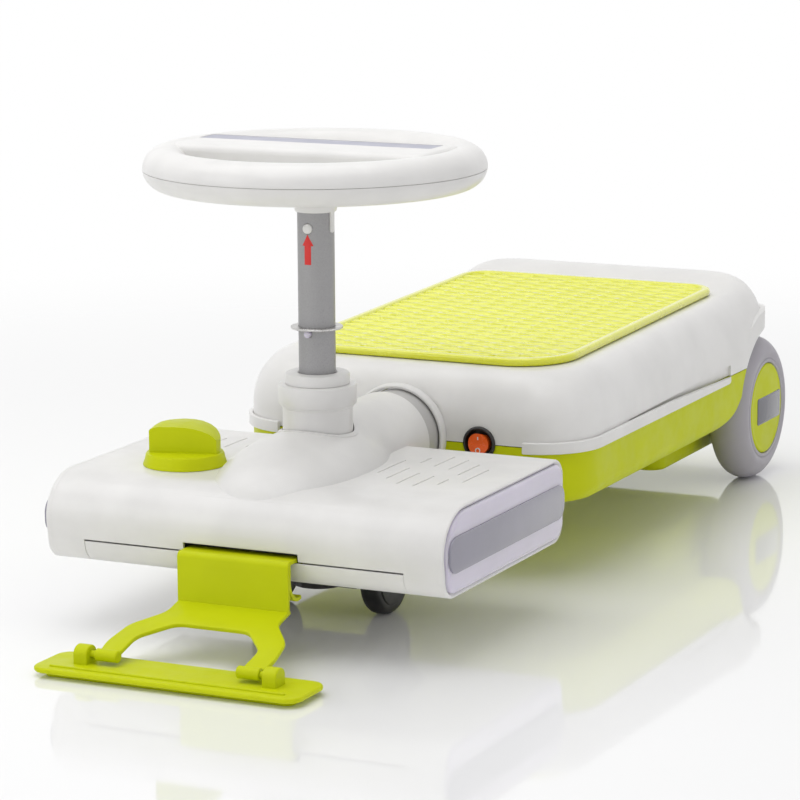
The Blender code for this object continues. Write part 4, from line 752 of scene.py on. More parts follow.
def head():
    reach = 300.0
    casing = head_block("trim_head_casing", 0.0, HEAD_HALF_WIDTH, 0.2)
    unite(casing, hood("hood", 0.0))
    hollow = head_block("hollow", WALL, HEAD_HALF_WIDTH - WALL)
    unite(hollow, hood("hood_hollow", WALL))
    cut(casing, hollow)
    below = block("below", (-reach, -reach, -10.0), (reach, reach, PARTING_Z + 0.02))
    collar_hole = COLLAR_RADIUS + 1.0
    hole = rod("hole", collar_hole, 0.0, 90.0, (0, 0, NECK_Z))
    stem = rod("stem", 4.3, -10.0, 10.0, (KNOB_X, KNOB_Y, HEAD_TOP_Z), steps=32)
    half = ARM_HALF + 2.0
    slot_front = (-half, HEAD_FRONT_Y - 5.0, HEAD_BOTTOM_Z)
    slot = block("slot", slot_front, (half, HEAD_FRONT_Y + 15.0, PARTING_Z + 7.0))
    cut(casing, below, hole, stem, slot, grille("grille"))
    finish_piece(casing, WHITE, "chassis", "head_upper_casing", smooth=32.0)

    inner, outer = collar_hole + 0.2, collar_hole + 3.4
    lip = lathe("collar_rim", [(inner, 0.0), (outer, 0.0), (outer, 90.0), (inner, 90.0)], (0, 0, NECK_Z))
    clip(lip, hood("lip_outer", -0.8))
    cut(lip, hood("lip_inner", 1.5))
    finish_piece(lip, WHITE, "chassis")

    base = head_block("trim_head_base", 0.0, HEAD_HALF_WIDTH, 0.2)
    cut(base, head_block("hollow", WALL, HEAD_HALF_WIDTH - WALL))
    half = STRIP_HALF_WIDTH
    above = block("above", (-reach, -reach, PARTING_Z - 0.02), (reach, reach, reach))
    recess_front = (-half, HEAD_FRONT_Y - 5.0, HEAD_BOTTOM_Z - 5.0)
    recess = block("recess", recess_front, (half, HEAD_FRONT_Y + 25.0, PARTING_Z + 5.0))
    cut(base, above, recess)
    roof = PARTING_Z - 1.0
    cup = rod("cup", WELL_RADIUS + WALL, HEAD_BOTTOM_Z, roof + WALL, (0, 0, 0))
    void = rod("void", WELL_RADIUS, HEAD_BOTTOM_Z - 10.0, roof, (0, 0, 0))
    hole = rod("hole", COLUMN_RADIUS + 2 * GAP, -15.0, 15.0, (0, 0, roof))
    unite(base, cup)
    cut(base, void, hole)
    finish_piece(base, WHITE, "chassis", "head_base", smooth=32.0)

    strip = head_block("trim_head_strip", 0.0, HEAD_HALF_WIDTH)
    cut(strip, head_block("hollow", WALL, HEAD_HALF_WIDTH + 10.0))
    low, high = span("head_front_strip")
    clip(strip, block("bounds", (low.x, low.y - 5.0, low.z - 5.0), (high.x, high.y, high.z - 0.4)))
    soften(strip, 0.7)
    finish_piece(strip, WHITE, "chassis", "head_front_strip", smooth=32.0)


def outline_rings(sign, levels):
    """The head's outline at each (inset, X) level, on one side of the head."""
    return [[(sign * x, y, z) for y, z in head_outline(inset)] for inset, x in levels]


def end_cap(side, sign):
    """The milky cover over the head's end, in a stepped white rim, and the dark panel on it."""
    start = HEAD_HALF_WIDTH + GAP
    outer = LENS_HIGH.x
    levels = ((4.4, start), (4.4, start + 4.2), (4.8, start + 5.8), (6.0, start + 7.0))
    levels += ((8.4, outer - 0.1), (9.5, outer))
    cover = loft("trim_end_lens_" + side, outline_rings(sign, levels))
    finish_piece(cover, LENS, "chassis", "end_lens_" + side, smooth=50.0)
    start = HEAD_HALF_WIDTH + 0.02
    levels = ((4.2, start), (0.0, start), (0.0, start + 3.4), (0.4, start + 4.6), (1.4, start + 5.3))
    levels += ((2.4, start + 5.0), (3.2, start + 3.8), (4.2, start + 3.2))
    rim = ring_band("end_rim_" + side, outline_rings(sign, levels))
    finish_piece(rim, WHITE, "chassis", smooth=50.0)
    ys = (PANEL_LOW.y - 15.0, PANEL_HIGH.y + 10.0)
    panel = rounded_rectangle(*ys, PANEL_LOW.z + 0.5, PANEL_HIGH.z - 4.5, 12.5, 12)
    xs = sorted((sign * (outer - 0.6), sign * PANEL_HIGH.x))
    plate = prism("trim_end_panel_" + side, panel, xs[0], xs[1], "X", 0.5, 3)
    finish_piece(plate, PANEL, "chassis", "end_panel_" + side)


def ring_band(name, rings):
    """A closed band: rings joined round, with the last joined to the first."""
    bm = bmesh.new()
    loops = [[bm.verts.new(point(*p)) for p in ring] for ring in rings]
    for lower, upper in zip(loops, loops[1:] + loops[:1]):
        for i, vert in enumerate(lower):
            j = (i + 1) % len(lower)
            bm.faces.new((vert, lower[j], upper[j], upper[i]))
    return new_object(name, mesh_from(bm))


def mode_knob():
    base = HEAD_TOP_Z + GAP
    radius = KNOB_RADIUS
    top = base + 11.0
    profile = [
        (0.0, top), (radius - 5.0, top), (radius - 3.2, top - 0.4), (radius - 2.4, top - 1.6),
        (radius - 1.6, top - 5.5), (radius - 0.3, top - 9.3), (radius, top - 10.2), (radius, top - 11.0),
        (4.0, base), (4.0, base - 9.8), (0.0, base - 9.8),
    ]
    knob = lathe("trim_mode_knob", profile, (KNOB_X, KNOB_Y, 0.0))
    grip_radius = 31.5
    face = 9.0
    reach = math.degrees(math.asin(face / grip_radius))
    outline = arc((KNOB_X, KNOB_Y), (grip_radius, grip_radius), -reach, 180 + reach, 64)
    grip = prism("grip", outline, top - 1.0, KNOB_HIGH.z + 6.0, "Z")
    drops = ((-40.0, 14.0), (-31.5, 6.0), (-29.5, 2.6), (-25.5, 0.8), (-20.0, 0.2), (-8.0, 0.0), (2.0, 0.4))
    drops += ((10.0, 1.4), (18.0, 3.4), (24.0, 5.8), (28.0, 8.6), (30.5, 11.4), (32.0, 15.0), (40.0, 20.0))
    lid = [(KNOB_X + x, KNOB_HIGH.z - drop) for x, drop in drops]
    lid += [(KNOB_X + 40.0, KNOB_HIGH.z + 30.0), (KNOB_X - 40.0, KNOB_HIGH.z + 30.0)]
    cut(grip, prism("lid", lid, KNOB_Y - 50.0, KNOB_Y + 50.0, "Y"))
    soften(grip, 2.4, 42.0, 5)
    axis = Matrix.Translation(point(KNOB_X, KNOB_Y, 0.0))
    grip.data.transform(axis @ Matrix.Rotation(math.radians(KNOB_TURN), 4, "Z") @ axis.inverted())
    boolean(grip, "UNION")
    unite(knob, grip)
    finish_piece(knob, LIME, "mode_knob", "mode_knob", smooth=38.0)


# ---- neck ----------------------------------------------------------------------------------------


def neck():
    low, high = span("neck_sleeve")
    outer = high.x
    inner = outer - WALL
    sleeve = [(outer, low.y), (outer, high.y), (inner, high.y), (inner, low.y)]
    tube = lathe("trim_neck_sleeve", sleeve, (0, 0, NECK_Z), "Y", 128)
    # The sleeve takes the painted-shade grey of the recess.
    finish_piece(tube, SPIGOT_PAINTED_SHADE, "chassis", "neck_sleeve")
    low, high = span("neck_ring")
    outer = high.x
    inner = span("neck_sleeve")[1].x + 1.4
    ring = [
        (outer, high.y), (outer, low.y + 3.0), (outer - 0.6, low.y + 1.0), (outer - 1.8, low.y),
        (inner + 0.8, low.y), (inner, low.y + 1.0), (inner, high.y),
    ]
    finish_piece(lathe("trim_neck_ring", ring, (0, 0, NECK_Z), "Y", 128), WHITE, "chassis", "neck_ring")


# ---- ride-on body --------------------------------------------------------------------------------


def deck_z(y):
    return DECK_FRONT_Z + DECK_SLOPE * (y - DECK_FRONT_Y)


def top_z(y):
    t = min(max((y - DECK_REAR_Y + DECK_CORNER) / DECK_CORNER, 0.0), 1.0)
    return deck_z(y) + TAIL_RISE * t * t * (3 - 2 * t)


def dense_rectangle(x0, x1, y0, y1, radius, steps=20, along=30):
    """A round-cornered rectangle with points along its long sides too, mirror images in X."""
    right = arc((x1 - radius, y0 + radius), (radius, radius), -90, 0, steps)
    right += [(x1, y0 + radius + (y1 - y0 - 2 * radius) * i / along) for i in range(1, along)]
    right += arc((x1 - radius, y1 - radius), (radius, radius), 0, 90, steps)
    return right + [(x0 + x1 - x, y) for x, y in reversed(right)]


def upper_ring(turn, wall=0.0):
    share = 1.0 - math.cos(math.radians(turn))
    climb = math.sin(math.radians(turn))
    side = BODY_HALF_WIDTH - share * (BODY_HALF_WIDTH - DECK_HALF_WIDTH) - wall
    front = BODY_FRONT_Y + share * (DECK_FRONT_Y - BODY_FRONT_Y) + wall
    rear = BODY_REAR_Y - share * (BODY_REAR_Y - DECK_REAR_Y) - wall
    corner = BODY_CORNER - share * (BODY_CORNER - DECK_CORNER) - wall
    points = dense_rectangle(-side, side, front, rear, corner)
    return [(x, y, SHOULDER_Z + climb * (top_z(y) - wall - SHOULDER_Z)) for x, y in points]


def level_ring(z, inset):
    side = BODY_HALF_WIDTH - inset
    points = dense_rectangle(-side, side, BODY_FRONT_Y + inset, BODY_REAR_Y - inset, BODY_CORNER - inset)
    return [(x, y, z) for x, y in points]


def arch(name, radius, inner_x, sign):
    profile = [(0.0, 0.0), (radius, 0.0), (radius, 60.0), (0.0, 60.0)]
    return lathe(name, profile, (sign * inner_x, REAR_AXLE_Y, REAR_RADIUS), "X", 128, sign)


def flare(name, sign):
    """The round fender over a rear wheel, which stands out of the shell's shoulder."""
    side = BODY_HALF_WIDTH - 0.4
    inner = 100.0
    rim = side - inner
    profile = [(0.0, 0.0), (FLARE_RADIUS + 5.0, 0.0), (FLARE_RADIUS, rim - 5.0)]
    profile += [(FLARE_RADIUS - 2.0, rim - 1.5), (FLARE_RADIUS - 5.5, rim), (0.0, rim)]
    disc = lathe(name, profile, (sign * inner, REAR_AXLE_Y, REAR_RADIUS), "X", 160, sign)
    plan = rounded_rectangle(-side, side, BODY_FRONT_Y + 0.4, BODY_REAR_Y - 0.4, BODY_CORNER - 0.4, 24)
    return clip(disc, prism("plan", plan, BODY_SEAM_Z + GAP / 2, BODY_SEAM_Z + 200.0, "Z"))


def axle_hole():
    return rod("axle", 6.0, -400.0, 400.0, (0.0, REAR_AXLE_Y, REAR_RADIUS), "X", 32)


def body_openings():
    neck_radius = span("neck_sleeve")[1].x + 2 * GAP
    neck_hole = rod("neck", neck_radius, -30.0, 30.0, (0.0, BODY_FRONT_Y, NECK_Z), "Y")
    switch = rod("switch", 13.8, -20.0, 20.0, (ROCKER_MID_X, BODY_FRONT_Y, ROCKER_MID_Z), "Y", 64)
    return axle_hole(), neck_hole, switch


def upper_shell():
    angles = [4.5 * i for i in range(1, 21)]
    rings = [level_ring(BODY_SEAM_Z + 0.4, 0.0)]
    rings += [level_ring(SHOULDER_Z - 12.0 + 3.0 * i, 0.0) for i in range(5)]
    shell = loft("trim_body_upper", rings + [upper_ring(a) for a in angles], strips=True)
    unite(shell, *pair(flare))
    inner = [level_ring(BODY_SEAM_Z - 10.0, WALL), level_ring(SHOULDER_Z, WALL)]
    hollow = loft("hollow", inner + [upper_ring(a, WALL) for a in (18, 36, 54, 72, 90)], strips=True)
    cut(hollow, *pair(arch, ARCH_RADIUS + WALL, ARCH_INNER_X - WALL))
    cut(shell, *pair(arch, ARCH_RADIUS, ARCH_INNER_X), hollow, *body_openings())
    top = BUMPER_HIGH.z + GAP
    end = BUMPER_HIGH.y + 1.5
    wedges = []
    for sign in (-1.0, 1.0):
        outline = [(300.0, top - 8.0), (end, top - 8.0), (end, top + 5.5), (300.0, top + 0.1)]
        xs = sorted((sign * (BODY_HALF_WIDTH - 2.4), sign * (BODY_HALF_WIDTH + 6.0)))
        wedges.append(prism("wedge", outline, xs[0], xs[1], "X"))
    cut(shell, *wedges)
    finish_piece(shell, WHITE, "chassis", "body_upper_shell", smooth=32.0)


def lower_shell():
    foot = BODY_BOTTOM_Z
    seam = BODY_SEAM_Z - 0.4
    round_edge = arc((14.0, foot + 16.0), (14.0, 16.0), 270, 180, 8)
    rings = [level_ring(z, x) for x, z in round_edge] + [level_ring(seam - 12.0, 0.0), level_ring(seam, 0.0)]
    shell = loft("trim_body_lower", rings)
    levels = ((foot + WALL, 14.0), (foot + 8.0, 4.0), (foot + 16.0, 0.0), (seam + 10.0, 0.0))
    hollow = loft("hollow", [level_ring(z, inset + WALL) for z, inset in levels])
    arch_liners = pair(arch, ARCH_RADIUS + WALL, ARCH_INNER_X - WALL)
    haunch_liners = pair(haunch, WALL, ARCH_INNER_X - WALL)
    cut(hollow, *arch_liners, *haunch_liners)
    gear_low, gear_high = span("drive_gearbox_right")
    half = gear_high.x + 4.0
    window_low = (-half, gear_low.y - 4.0, foot - 5.0)
    window = block("window", window_low, (half, gear_high.y + 4.0, foot + WALL + 5.0))
    socket_low, socket_high = span("charge_socket")
    socket_x = (socket_low.x + socket_high.x) / 2
    socket_z = (socket_low.z + socket_high.z) / 2
    socket = rod("socket", 6.8, -10.0, 10.0, (socket_x, BODY_REAR_Y, socket_z), "Y", 48)
    arches = pair(arch, ARCH_RADIUS, ARCH_INNER_X)
    haunches = pair(haunch, 0.0, ARCH_INNER_X)
    cut(shell, *arches, *haunches, hollow, *body_openings(), window, socket)
    finish_piece(shell, LIME, "chassis", "body_lower_shell", smooth=32.0)


def haunch(name, wall, inner_x, sign):
    """Cutter that rounds off the lower shell in front of a rear wheel."""
    radii = [radius - wall for radius in HAUNCH_RADII]
    seam = BODY_SEAM_Z + 1.0
    start = -math.degrees(math.asin((HAUNCH_Z - seam) / radii[1]))
    outline = arc((HAUNCH_Y, HAUNCH_Z), radii, start, -90, 30)
    outline += [(HAUNCH_Y, 40.0), (REAR_AXLE_Y, 40.0), (REAR_AXLE_Y, seam)]
    xs = sorted((sign * inner_x, sign * (inner_x + 60.0)))
    return prism(name, outline[::-1], xs[0], xs[1], "X")


def bumper(side, sign):
    """A strip round the front corner and back along the side to a slanted end. The left one is mirrored."""
    centre = (BODY_HALF_WIDTH - BODY_CORNER, BODY_FRONT_Y + BODY_CORNER)
    inner = BODY_CORNER + GAP
    outer = BUMPER_HIGH.x - centre[0]
    end = BUMPER_HIGH.y
    outside = arc(centre, (outer, outer), -83.0, 0, 48)
    outside += [(centre[0] + outer, end - 40.0 + 4.0 * i) for i in range(8)]
    outside.append((centre[0] + outer - 3.4, end))
    inside = [(centre[0] + inner, end)] + arc(centre, (inner, inner), 0, -83.0, 48)
    strip = prism("trim_bumper_" + side, outside + inside, BUMPER_LOW.z, BUMPER_HIGH.z, "Z", 1.2, 4)
    top = BUMPER_HIGH.z
    taper = [(400.0, top + 0.01), (end + 5.0, top - 5.6), (end + 5.0, top + 5.0), (400.0, top + 5.0)]
    cut(strip, prism("taper", taper, BODY_HALF_WIDTH - 5.0, BUMPER_HIGH.x + 5.0, "X"))
    if sign < 0:
        strip.data.transform(Matrix.Scale(-1.0, 4, (1.0, 0.0, 0.0)))
        strip.data.flip_normals()
    finish_piece(strip, WHITE, "chassis", "side_bumper_" + side)


def deck_pad():
    """The ribbed mat: a rounded rim, and a lime sheet in it with wavy ribs across it."""
    half = PAD_HIGH.x
    front, rear = PAD_LOW.y, PAD_HIGH.y
    angle = math.atan(DECK_SLOPE)
    base = deck_z(front) + GAP
    length = (rear - front) / math.cos(angle)
    outer = pad_outline(half, length, 57.0, 30.0)
    inner = pad_outline(half - PAD_RIM_WIDTH, length - 2 * PAD_RIM_WIDTH, 50.0, 22.0)
    inner = [(x, y + PAD_RIM_WIDTH) for x, y in inner]
    tilt = tilted(angle, 0.0, front, base)
    rim = prism("trim_deck_pad", [outer, inner[::-1]], 0.0, PAD_RIM_HEIGHT, "Z", 3.4, 6)
    rim.data.transform(tilt)
    finish_piece(rim, PAD_LIME, "chassis", "deck_pad")
    sheet = wavy_sheet(inner, PAD_RIM_WIDTH, length - PAD_RIM_WIDTH)
    sheet.data.transform(tilt)
    finish_piece(sheet, PAD_LIME, "chassis", smooth=60.0)


def wavy_sheet(outline, start, end):
    """A sheet with wavy ribs across it, as wide at each row as the rim around it leaves."""
    bm = bmesh.new()
    rows, columns = 300, 110
    top = []
    for j in range(rows + 1):
        y = start + (end - start) * j / rows
        reach = row_reach(outline, min(max(y, start + 0.4), end - 0.4)) + 1.5
        row = []
        for i in range(columns + 1):
            x = reach * (2.0 * i / columns - 1.0)
            row.append(bm.verts.new(point(x, y, SHEET_Z + RIB_HEIGHT * rib_height(x, y))))
        top.append(row)
    for a, b in zip(top, top[1:]):
        for i in range(columns):
            bm.faces.new((a[i], a[i + 1], b[i + 1], b[i]))
    edge = [top[0][i] for i in range(columns + 1)] + [top[j][columns] for j in range(1, rows + 1)]
    edge += [top[rows][i] for i in range(columns - 1, -1, -1)] + [top[j][0] for j in range(rows - 1, 0, -1)]
    low = [bm.verts.new((v.co.x, v.co.y, point(0, 0, 0.3).z)) for v in edge]
    for i, v in enumerate(edge):
        j = (i + 1) % len(edge)
        bm.faces.new((v, low[i], low[j], edge[j]))
    bm.faces.new(low[::-1])
    return new_object("pad_sheet", mesh_from(bm))


def rib_height(x, y):
    """The ribs' height from 0 to 1. Each swings against its neighbours and leaves lens-shaped cells."""
    swing = RIB_SWING * math.cos(2.0 * math.pi * x / RIB_WAVE)
    nearest = RIB_PITCH
    first = math.floor(y / RIB_PITCH)
    for k in (first - 1, first, first + 1, first + 2):
        nearest = min(nearest, abs(y - (k * RIB_PITCH + (swing if k % 2 else -swing))))
    t = min(max((RIB_HALF_WIDTH + RIB_FLANK - nearest) / RIB_FLANK, 0.0), 1.0)
    return t * t * (3 - 2 * t)


def pad_outline(half, length, front_radius, rear_radius):
    right = arc((half - front_radius, front_radius), (front_radius, front_radius), -90, 0, 24)
    right += arc((half - rear_radius, length - rear_radius), (rear_radius, rear_radius), 0, 90, 16)
    return right + [(-x, y) for x, y in reversed(right)]


def row_reach(outline, y):
    """The outline's half width at a given y."""
    best = 0.0
    for (x0, y0), (x1, y1) in zip(outline, outline[1:] + outline[:1]):
        if (y0 - y) * (y1 - y) <= 0.0 and abs(y1 - y0) > 1e-9:
            best = max(best, x0 + (x1 - x0) * (y - y0) / (y1 - y0))
    return best


def rocker_switch():
    radius = BEZEL_HIGH.x - ROCKER_MID_X
    front = BEZEL_LOW.y
    depth = BEZEL_HIGH.y - front
    profile = [
        (radius - 2.5, 0.3), (radius - 1.7, 0.0), (radius - 0.7, 0.4), (radius, 1.4), (radius, 2.5),
        (13.6, 2.5), (13.6, depth), (0.0, depth), (0.0, 10.0), (radius - 3.0, 10.0), (radius - 3.0, 1.2),
    ]
    housing = lathe("trim_switch_housing", profile, (ROCKER_MID_X, front, ROCKER_MID_Z), "Y", 64)
    finish_piece(housing, BLACK, "chassis", "switch_housing")
    face = ROCKER_LOW.y
    axis_y = BODY_FRONT_Y + 2.0
    half = 10.0
    side_view = [
        (face + 0.4, ROCKER_MID_Z + half), (face + 2.0, ROCKER_MID_Z), (face + 0.4, ROCKER_MID_Z - half),
        (axis_y + 0.5, ROCKER_MID_Z - half + 1.8), (axis_y + 4.0, ROCKER_MID_Z),
        (axis_y + 0.5, ROCKER_MID_Z + half - 1.8),
    ]
    rocker = prism("trim_rocker", side_view, ROCKER_MID_X - half, ROCKER_MID_X + half, "X")
    clip(rocker, rod("disc", half, -10.0, 14.0, (ROCKER_MID_X, BODY_FRONT_Y, ROCKER_MID_Z), "Y", 64))
    soften(rocker, 0.6)
    finish_piece(rocker, ORANGE, "power_rocker", "power_rocker")
    bar_low = (ROCKER_MID_X - 0.5, face + 0.9, ROCKER_MID_Z + 4.0)
    bar = block("bar", bar_low, (ROCKER_MID_X + 0.5, face + 2.6, ROCKER_MID_Z + 8.0))
    band = [(1.7, 0.8), (2.6, 0.8), (2.6, 3.0), (1.7, 3.0)]
    ring = lathe("ring", band, (ROCKER_MID_X, face, ROCKER_MID_Z - 6.0), "Y", 32)
    marks = merge("rocker_marks", [bar, ring])
    finish_piece(marks, WHITE, "power_rocker")


def rear_wheel(side, sign):
    width = TYRE_HIGH.x - TYRE_LOW.x
    half = width / 2
    cap = HUBCAP_HIGH.z - REAR_RADIUS
    recess = cap + 0.6
    profile = [
        (recess, width - 7.5), (recess, width - 1.6), (recess + 0.6, width - 0.9),
        (recess + 3.2, width - 0.9), (recess + 3.9, width - 1.6), (recess + 4.4, width - 1.9),
        (recess + 5.0, width - 1.2),
    ]
    centre = REAR_RADIUS - half
    turns = [math.radians(a) for a in range(76, -81, -6)]
    profile += [(centre + half * math.cos(a), half + half * math.sin(a)) for a in turns]
    profile += [(recess, 0.6), (recess - 6.0, 6.0), (20.0, 6.0), (20.0, 0.2), (5.3, 0.2), (5.3, width - 7.5)]
    centre_point = (sign * TYRE_LOW.x, REAR_AXLE_Y, REAR_RADIUS)
    tyre = lathe("trim_tyre_" + side, profile, centre_point, "X", 160, sign)
    finish_piece(tyre, TYRE_GREY, "rear_wheel_" + side, "rear_tyre_" + side, smooth=45.0)
    face = HUBCAP_HIGH.x - TYRE_LOW.x
    back = HUBCAP_LOW.x - TYRE_LOW.x
    dish = [
        (0.0, back), (cap, back), (cap, face - 2.4), (cap - 0.8, face - 1.3), (cap - 2.4, face - 0.9),
        (cap - 3.6, face - 1.2), (cap - 8.0, face - 0.9), (cap * 0.5, face - 0.3), (0.0, face - 0.1),
    ]
    hub = lathe("trim_hubcap_" + side, dish, centre_point, "X", 128, sign)
    finish_piece(hub, LIME, "rear_wheel_" + side, "hubcap_" + side, smooth=45.0)
    plate = rounded_rectangle(-29.0, 40.0, -14.5, 13.5, 3.0, 5)
    xs = sorted((sign * (HUBCAP_HIGH.x - 1.2), sign * HUBCAP_HIGH.x))
    placed = [(REAR_AXLE_Y + a, REAR_RADIUS + b) for a, b in plate]
    badge = prism("hub_plate_" + side, placed, xs[0], xs[1], "X", 0.4, 2)
    finish_piece(badge, PLATE_DARK, "rear_wheel_" + side)


def front_wheel(side, sign):
    low, high = span("front_wheel_" + side)
    half = (high.x - low.x) / 2
    radius = (high.z - low.z) / 2
    centre = ((low.x + high.x) / 2, (low.y + high.y) / 2, radius)
    profile = [
        (4.3, -half), (radius - 9.0, -half), (radius - 8.0, -half + 1.2), (radius - 4.6, -half + 1.0),
        (radius - 2.2, -half + 2.0), (radius - 0.6, -half + 4.4), (radius, -2.5), (radius, 2.5),
        (radius - 0.6, half - 4.4), (radius - 2.2, half - 2.0), (radius - 4.6, half - 1.0),
        (radius - 8.0, half - 1.2), (radius - 9.0, half), (4.3, half),
    ]
    wheel = lathe("trim_front_wheel_" + side, profile, centre, "X", 96)
    finish_piece(wheel, TYRE_BLACK, "front_wheel_" + side, "front_wheel_" + side)


def drive_cover():
    half = COVER_HIGH.x
    levels = [(COVER_HIGH.z, 0.0), (COVER_LOW.z + 10.0, 0.0)]
    edge = 6.0
    for a in (0.3, 0.7, 1.1, 1.4, math.pi / 2):
        levels.append((COVER_LOW.z + edge - edge * math.sin(a), edge - edge * math.cos(a)))
    cover = loft("trim_drive_cover", cover_rings(levels))
    inner = ((COVER_HIGH.z + 5.0, 3.0), (COVER_LOW.z + 9.0, 3.0), (COVER_LOW.z + 3.0, 9.0))
    grooves = []
    for i in range(5):
        y = COVER_LOW.y + 30.0 + 33.0 * i
        low = (20.0 - half, y - 1.2, COVER_LOW.z - 2.0)
        grooves.append(block("groove", low, (half - 20.0, y + 1.2, COVER_LOW.z + 1.0)))
    cut(cover, loft("hollow", cover_rings(inner)), axle_hole(), merge("grooves", grooves))
    finish_piece(cover, LIME, "chassis", "drive_cover")


def cover_rings(levels):
    """The cover's outline at each (Z, inset) level, from the lowest level up."""
    rings = []
    for z, inset in reversed(levels):
        half = COVER_HIGH.x - inset
        corner = 16.0 - inset / 2
        points = rounded_rectangle(-half, half, COVER_LOW.y + inset, COVER_HIGH.y - inset, corner, 10)
        rings.append([(x, y, z) for x, y in points])
    return rings


# ---- mop -----------------------------------------------------------------------------------------


def mop_arm():
    front = ARM_FRONT_Y
    thick = SHEET_THICKNESS
    back = front + thick
    bend = 42.0
    top = ARM_HIGH.z
    hook = top - thick
    hook_back = ARM_HIGH.y
    tab = hook_back - thick
    curl_centre = (HEAD_FRONT_Y + 6.5, hook - 14.0)
    curl = arc(curl_centre, (17.0, 20.0), 200, 290, 20)
    curl_inner = arc(curl_centre, (17.0 - thick, 20.0 - thick), 290, 180, 24)
    clip_view = [(front, bend), (back, bend - 1.0), *curl, *curl_inner, (curl_inner[-1][0], hook)]
    clip_view += [(tab, hook), (tab, hook - 9.0), (hook_back, hook - 9.0)]
    clip_view += arc((hook_back - 2.5, top - 2.5), (2.5, 2.5), 0, 90, 5)
    clip_view += arc((front + 5.0, top - 5.0), (5.0, 5.0), 90, 180, 10)
    arm = prism("trim_mop_arm", clip_view, -ARM_HALF, ARM_HALF, "X", 0.5, 3)
    run = front - MOP_AXLE_Y
    drop = bend - MOP_AXLE_Z
    angle = math.atan2(drop, run)
    length = math.hypot(run, drop)
    outer = [(ARM_HALF, 3.0), (ARM_HALF, -21.0), (74.5, -49.0), (79.0, -80.0), (76.0, -length)]
    outer = rounded_path(outer, 7.0)
    inner = rounded_path([(57.5, -length), (58.0, -66.0), (34.0, -38.5), (0.0, -38.5)], 8.0)
    half = outer + inner[:-1]
    outline = half + [(0.0, -38.5)] + [(-x, y) for x, y in reversed(half)]
    legs = prism("legs", outline, -2.0, 2.0, "Z", 1.2, 4)
    legs.data.transform(tilted(angle, 0.0, front + 1.5, bend))
    unite(arm, legs)
    barrel = [(0.0, -10.5), (4.6, -10.5), (5.3, -9.7), (5.3, 9.7), (4.6, 10.5), (0.0, 10.5)]
    for sign in (-1.0, 1.0):
        unite(arm, lathe("barrel", barrel, (sign * 66.5, MOP_AXLE_Y, MOP_AXLE_Z), "X", 48))
    for side, sign in (("left", -1.0), ("right", 1.0)):
        radius = (PIN_HIGH.z - PIN_LOW.z) / 2
        cut(arm, pin_rod("pin_hole", radius + GAP, GAP, sign))
        finish_piece(pin_rod("trim_mop_pin_" + side, radius, 0.0, sign), LIME, "mop_arm", "mop_pin_" + side)
    finish_piece(arm, LIME, "mop_arm", "mop_arm")


def pin_rod(name, radius, extra, sign):
    """A cylinder where a hinge pin lies, longer than the pin by extra at each end."""
    reach = (PIN_HIGH.x - PIN_LOW.x) / 2 + extra
    middle = sign * (PIN_HIGH.x + PIN_LOW.x) / 2
    return rod(name, radius, -reach, reach, (middle, MOP_AXLE_Y, MOP_AXLE_Z), "X", 32)


def rounded_path(corners, radius, steps=6):
    """Straight runs between the corners, with each inner corner rounded."""
    path = [corners[0]]
    for before, corner, after in zip(corners, corners[1:], corners[2:]):
        at = Vector(corner)
        back, ahead = Vector(before) - at, Vector(after) - at
        start = at + back.normalized() * min(radius, back.length * 0.45)
        end = at + ahead.normalized() * min(radius, ahead.length * 0.45)
        for i in range(steps + 1):
            t = i / steps
            q = start * (1 - t) ** 2 + at * 2 * t * (1 - t) + end * t * t
            path.append((q.x, q.y))
    path.append(corners[-1])
    return path


def mop_plate():
    top = MOP_PLATE_TOP_Z
    low, high = PLATE_LOW, PLATE_HIGH
    outline = rounded_rectangle(low.x, high.x, low.y, high.y, 14.0, 14)
    plate = prism("trim_mop_plate", outline, 4.2, top, "Z", 2.2, 5)
    inset = 9.0
    foot = rounded_rectangle(low.x + inset, high.x - inset, low.y + inset, high.y - inset, 8.0, 8)
    unite(plate, prism("foot", foot, 0.0, 5.0, "Z", 0.6, 2))
    ridge = rounded_rectangle(low.x + 15.0, high.x - 15.0, low.y + 8.5, low.y + 12.5, 1.9, 5)
    unite(plate, prism("ridge", ridge, top - 2.0, top + 1.5, "Z", 0.8, 3))
    lug = [(MOP_AXLE_Y - 9.0, top - 1.0), (MOP_AXLE_Y + 9.0, top - 1.0)]
    lug += arc((MOP_AXLE_Y, MOP_AXLE_Z), (9.0, 7.5), 0, 180, 24)
    for sign in (-1.0, 1.0):
        xs = sorted((sign * 82.0, sign * 95.0))
        unite(plate, prism("lug", lug, xs[0], xs[1], "X", 1.4, 4))
        cut(plate, pin_rod("pin_hole", 3.3, GAP, sign))
    finish_piece(plate, LIME, "mop_plate", "mop_plate")


# ---- carried-over CAD nodes ----------------------------------------------------------------------


def carry_over():
    """Nodes whose CAD shape is right keep it, with softened edges and a finish of their own."""
    finishes = {
        STEEL: (
            "button_leaf_spring", "fork_bolt", "fork_nut", "front_axle", "rear_axle", "neck_frame",
            "drive_motor_left", "drive_motor_right",
        ),
        BLACK: (
            "battery_pack", "charge_socket", "drive_gearbox_left", "drive_gearbox_right", "knob_switch",
            "spar_clamp", "steering_fork", "front_axle_cap_left", "front_axle_cap_right",
        ),
        BOARD: ("light_board_left", "light_board_right", "control_board"),
        BUSHING: ("lower_bushing", "upper_bushing"),
        LENS: ("washer_stop",),
    }
    for material, names in finishes.items():
        for name in names:
            node = NODES[name]
            node.data.materials.clear()
            node.data.materials.append(material)
            weld = node.modifiers.new("weld", "WELD")
            weld.merge_threshold = 0.00001
            flat = node.modifiers.new("flat", "DECIMATE")
            flat.decimate_type = "DISSOLVE"
            flat.angle_limit = math.radians(2.0)
            soften(node, 0.5, 50.0, 2)


# ---- stage ---------------------------------------------------------------------------------------


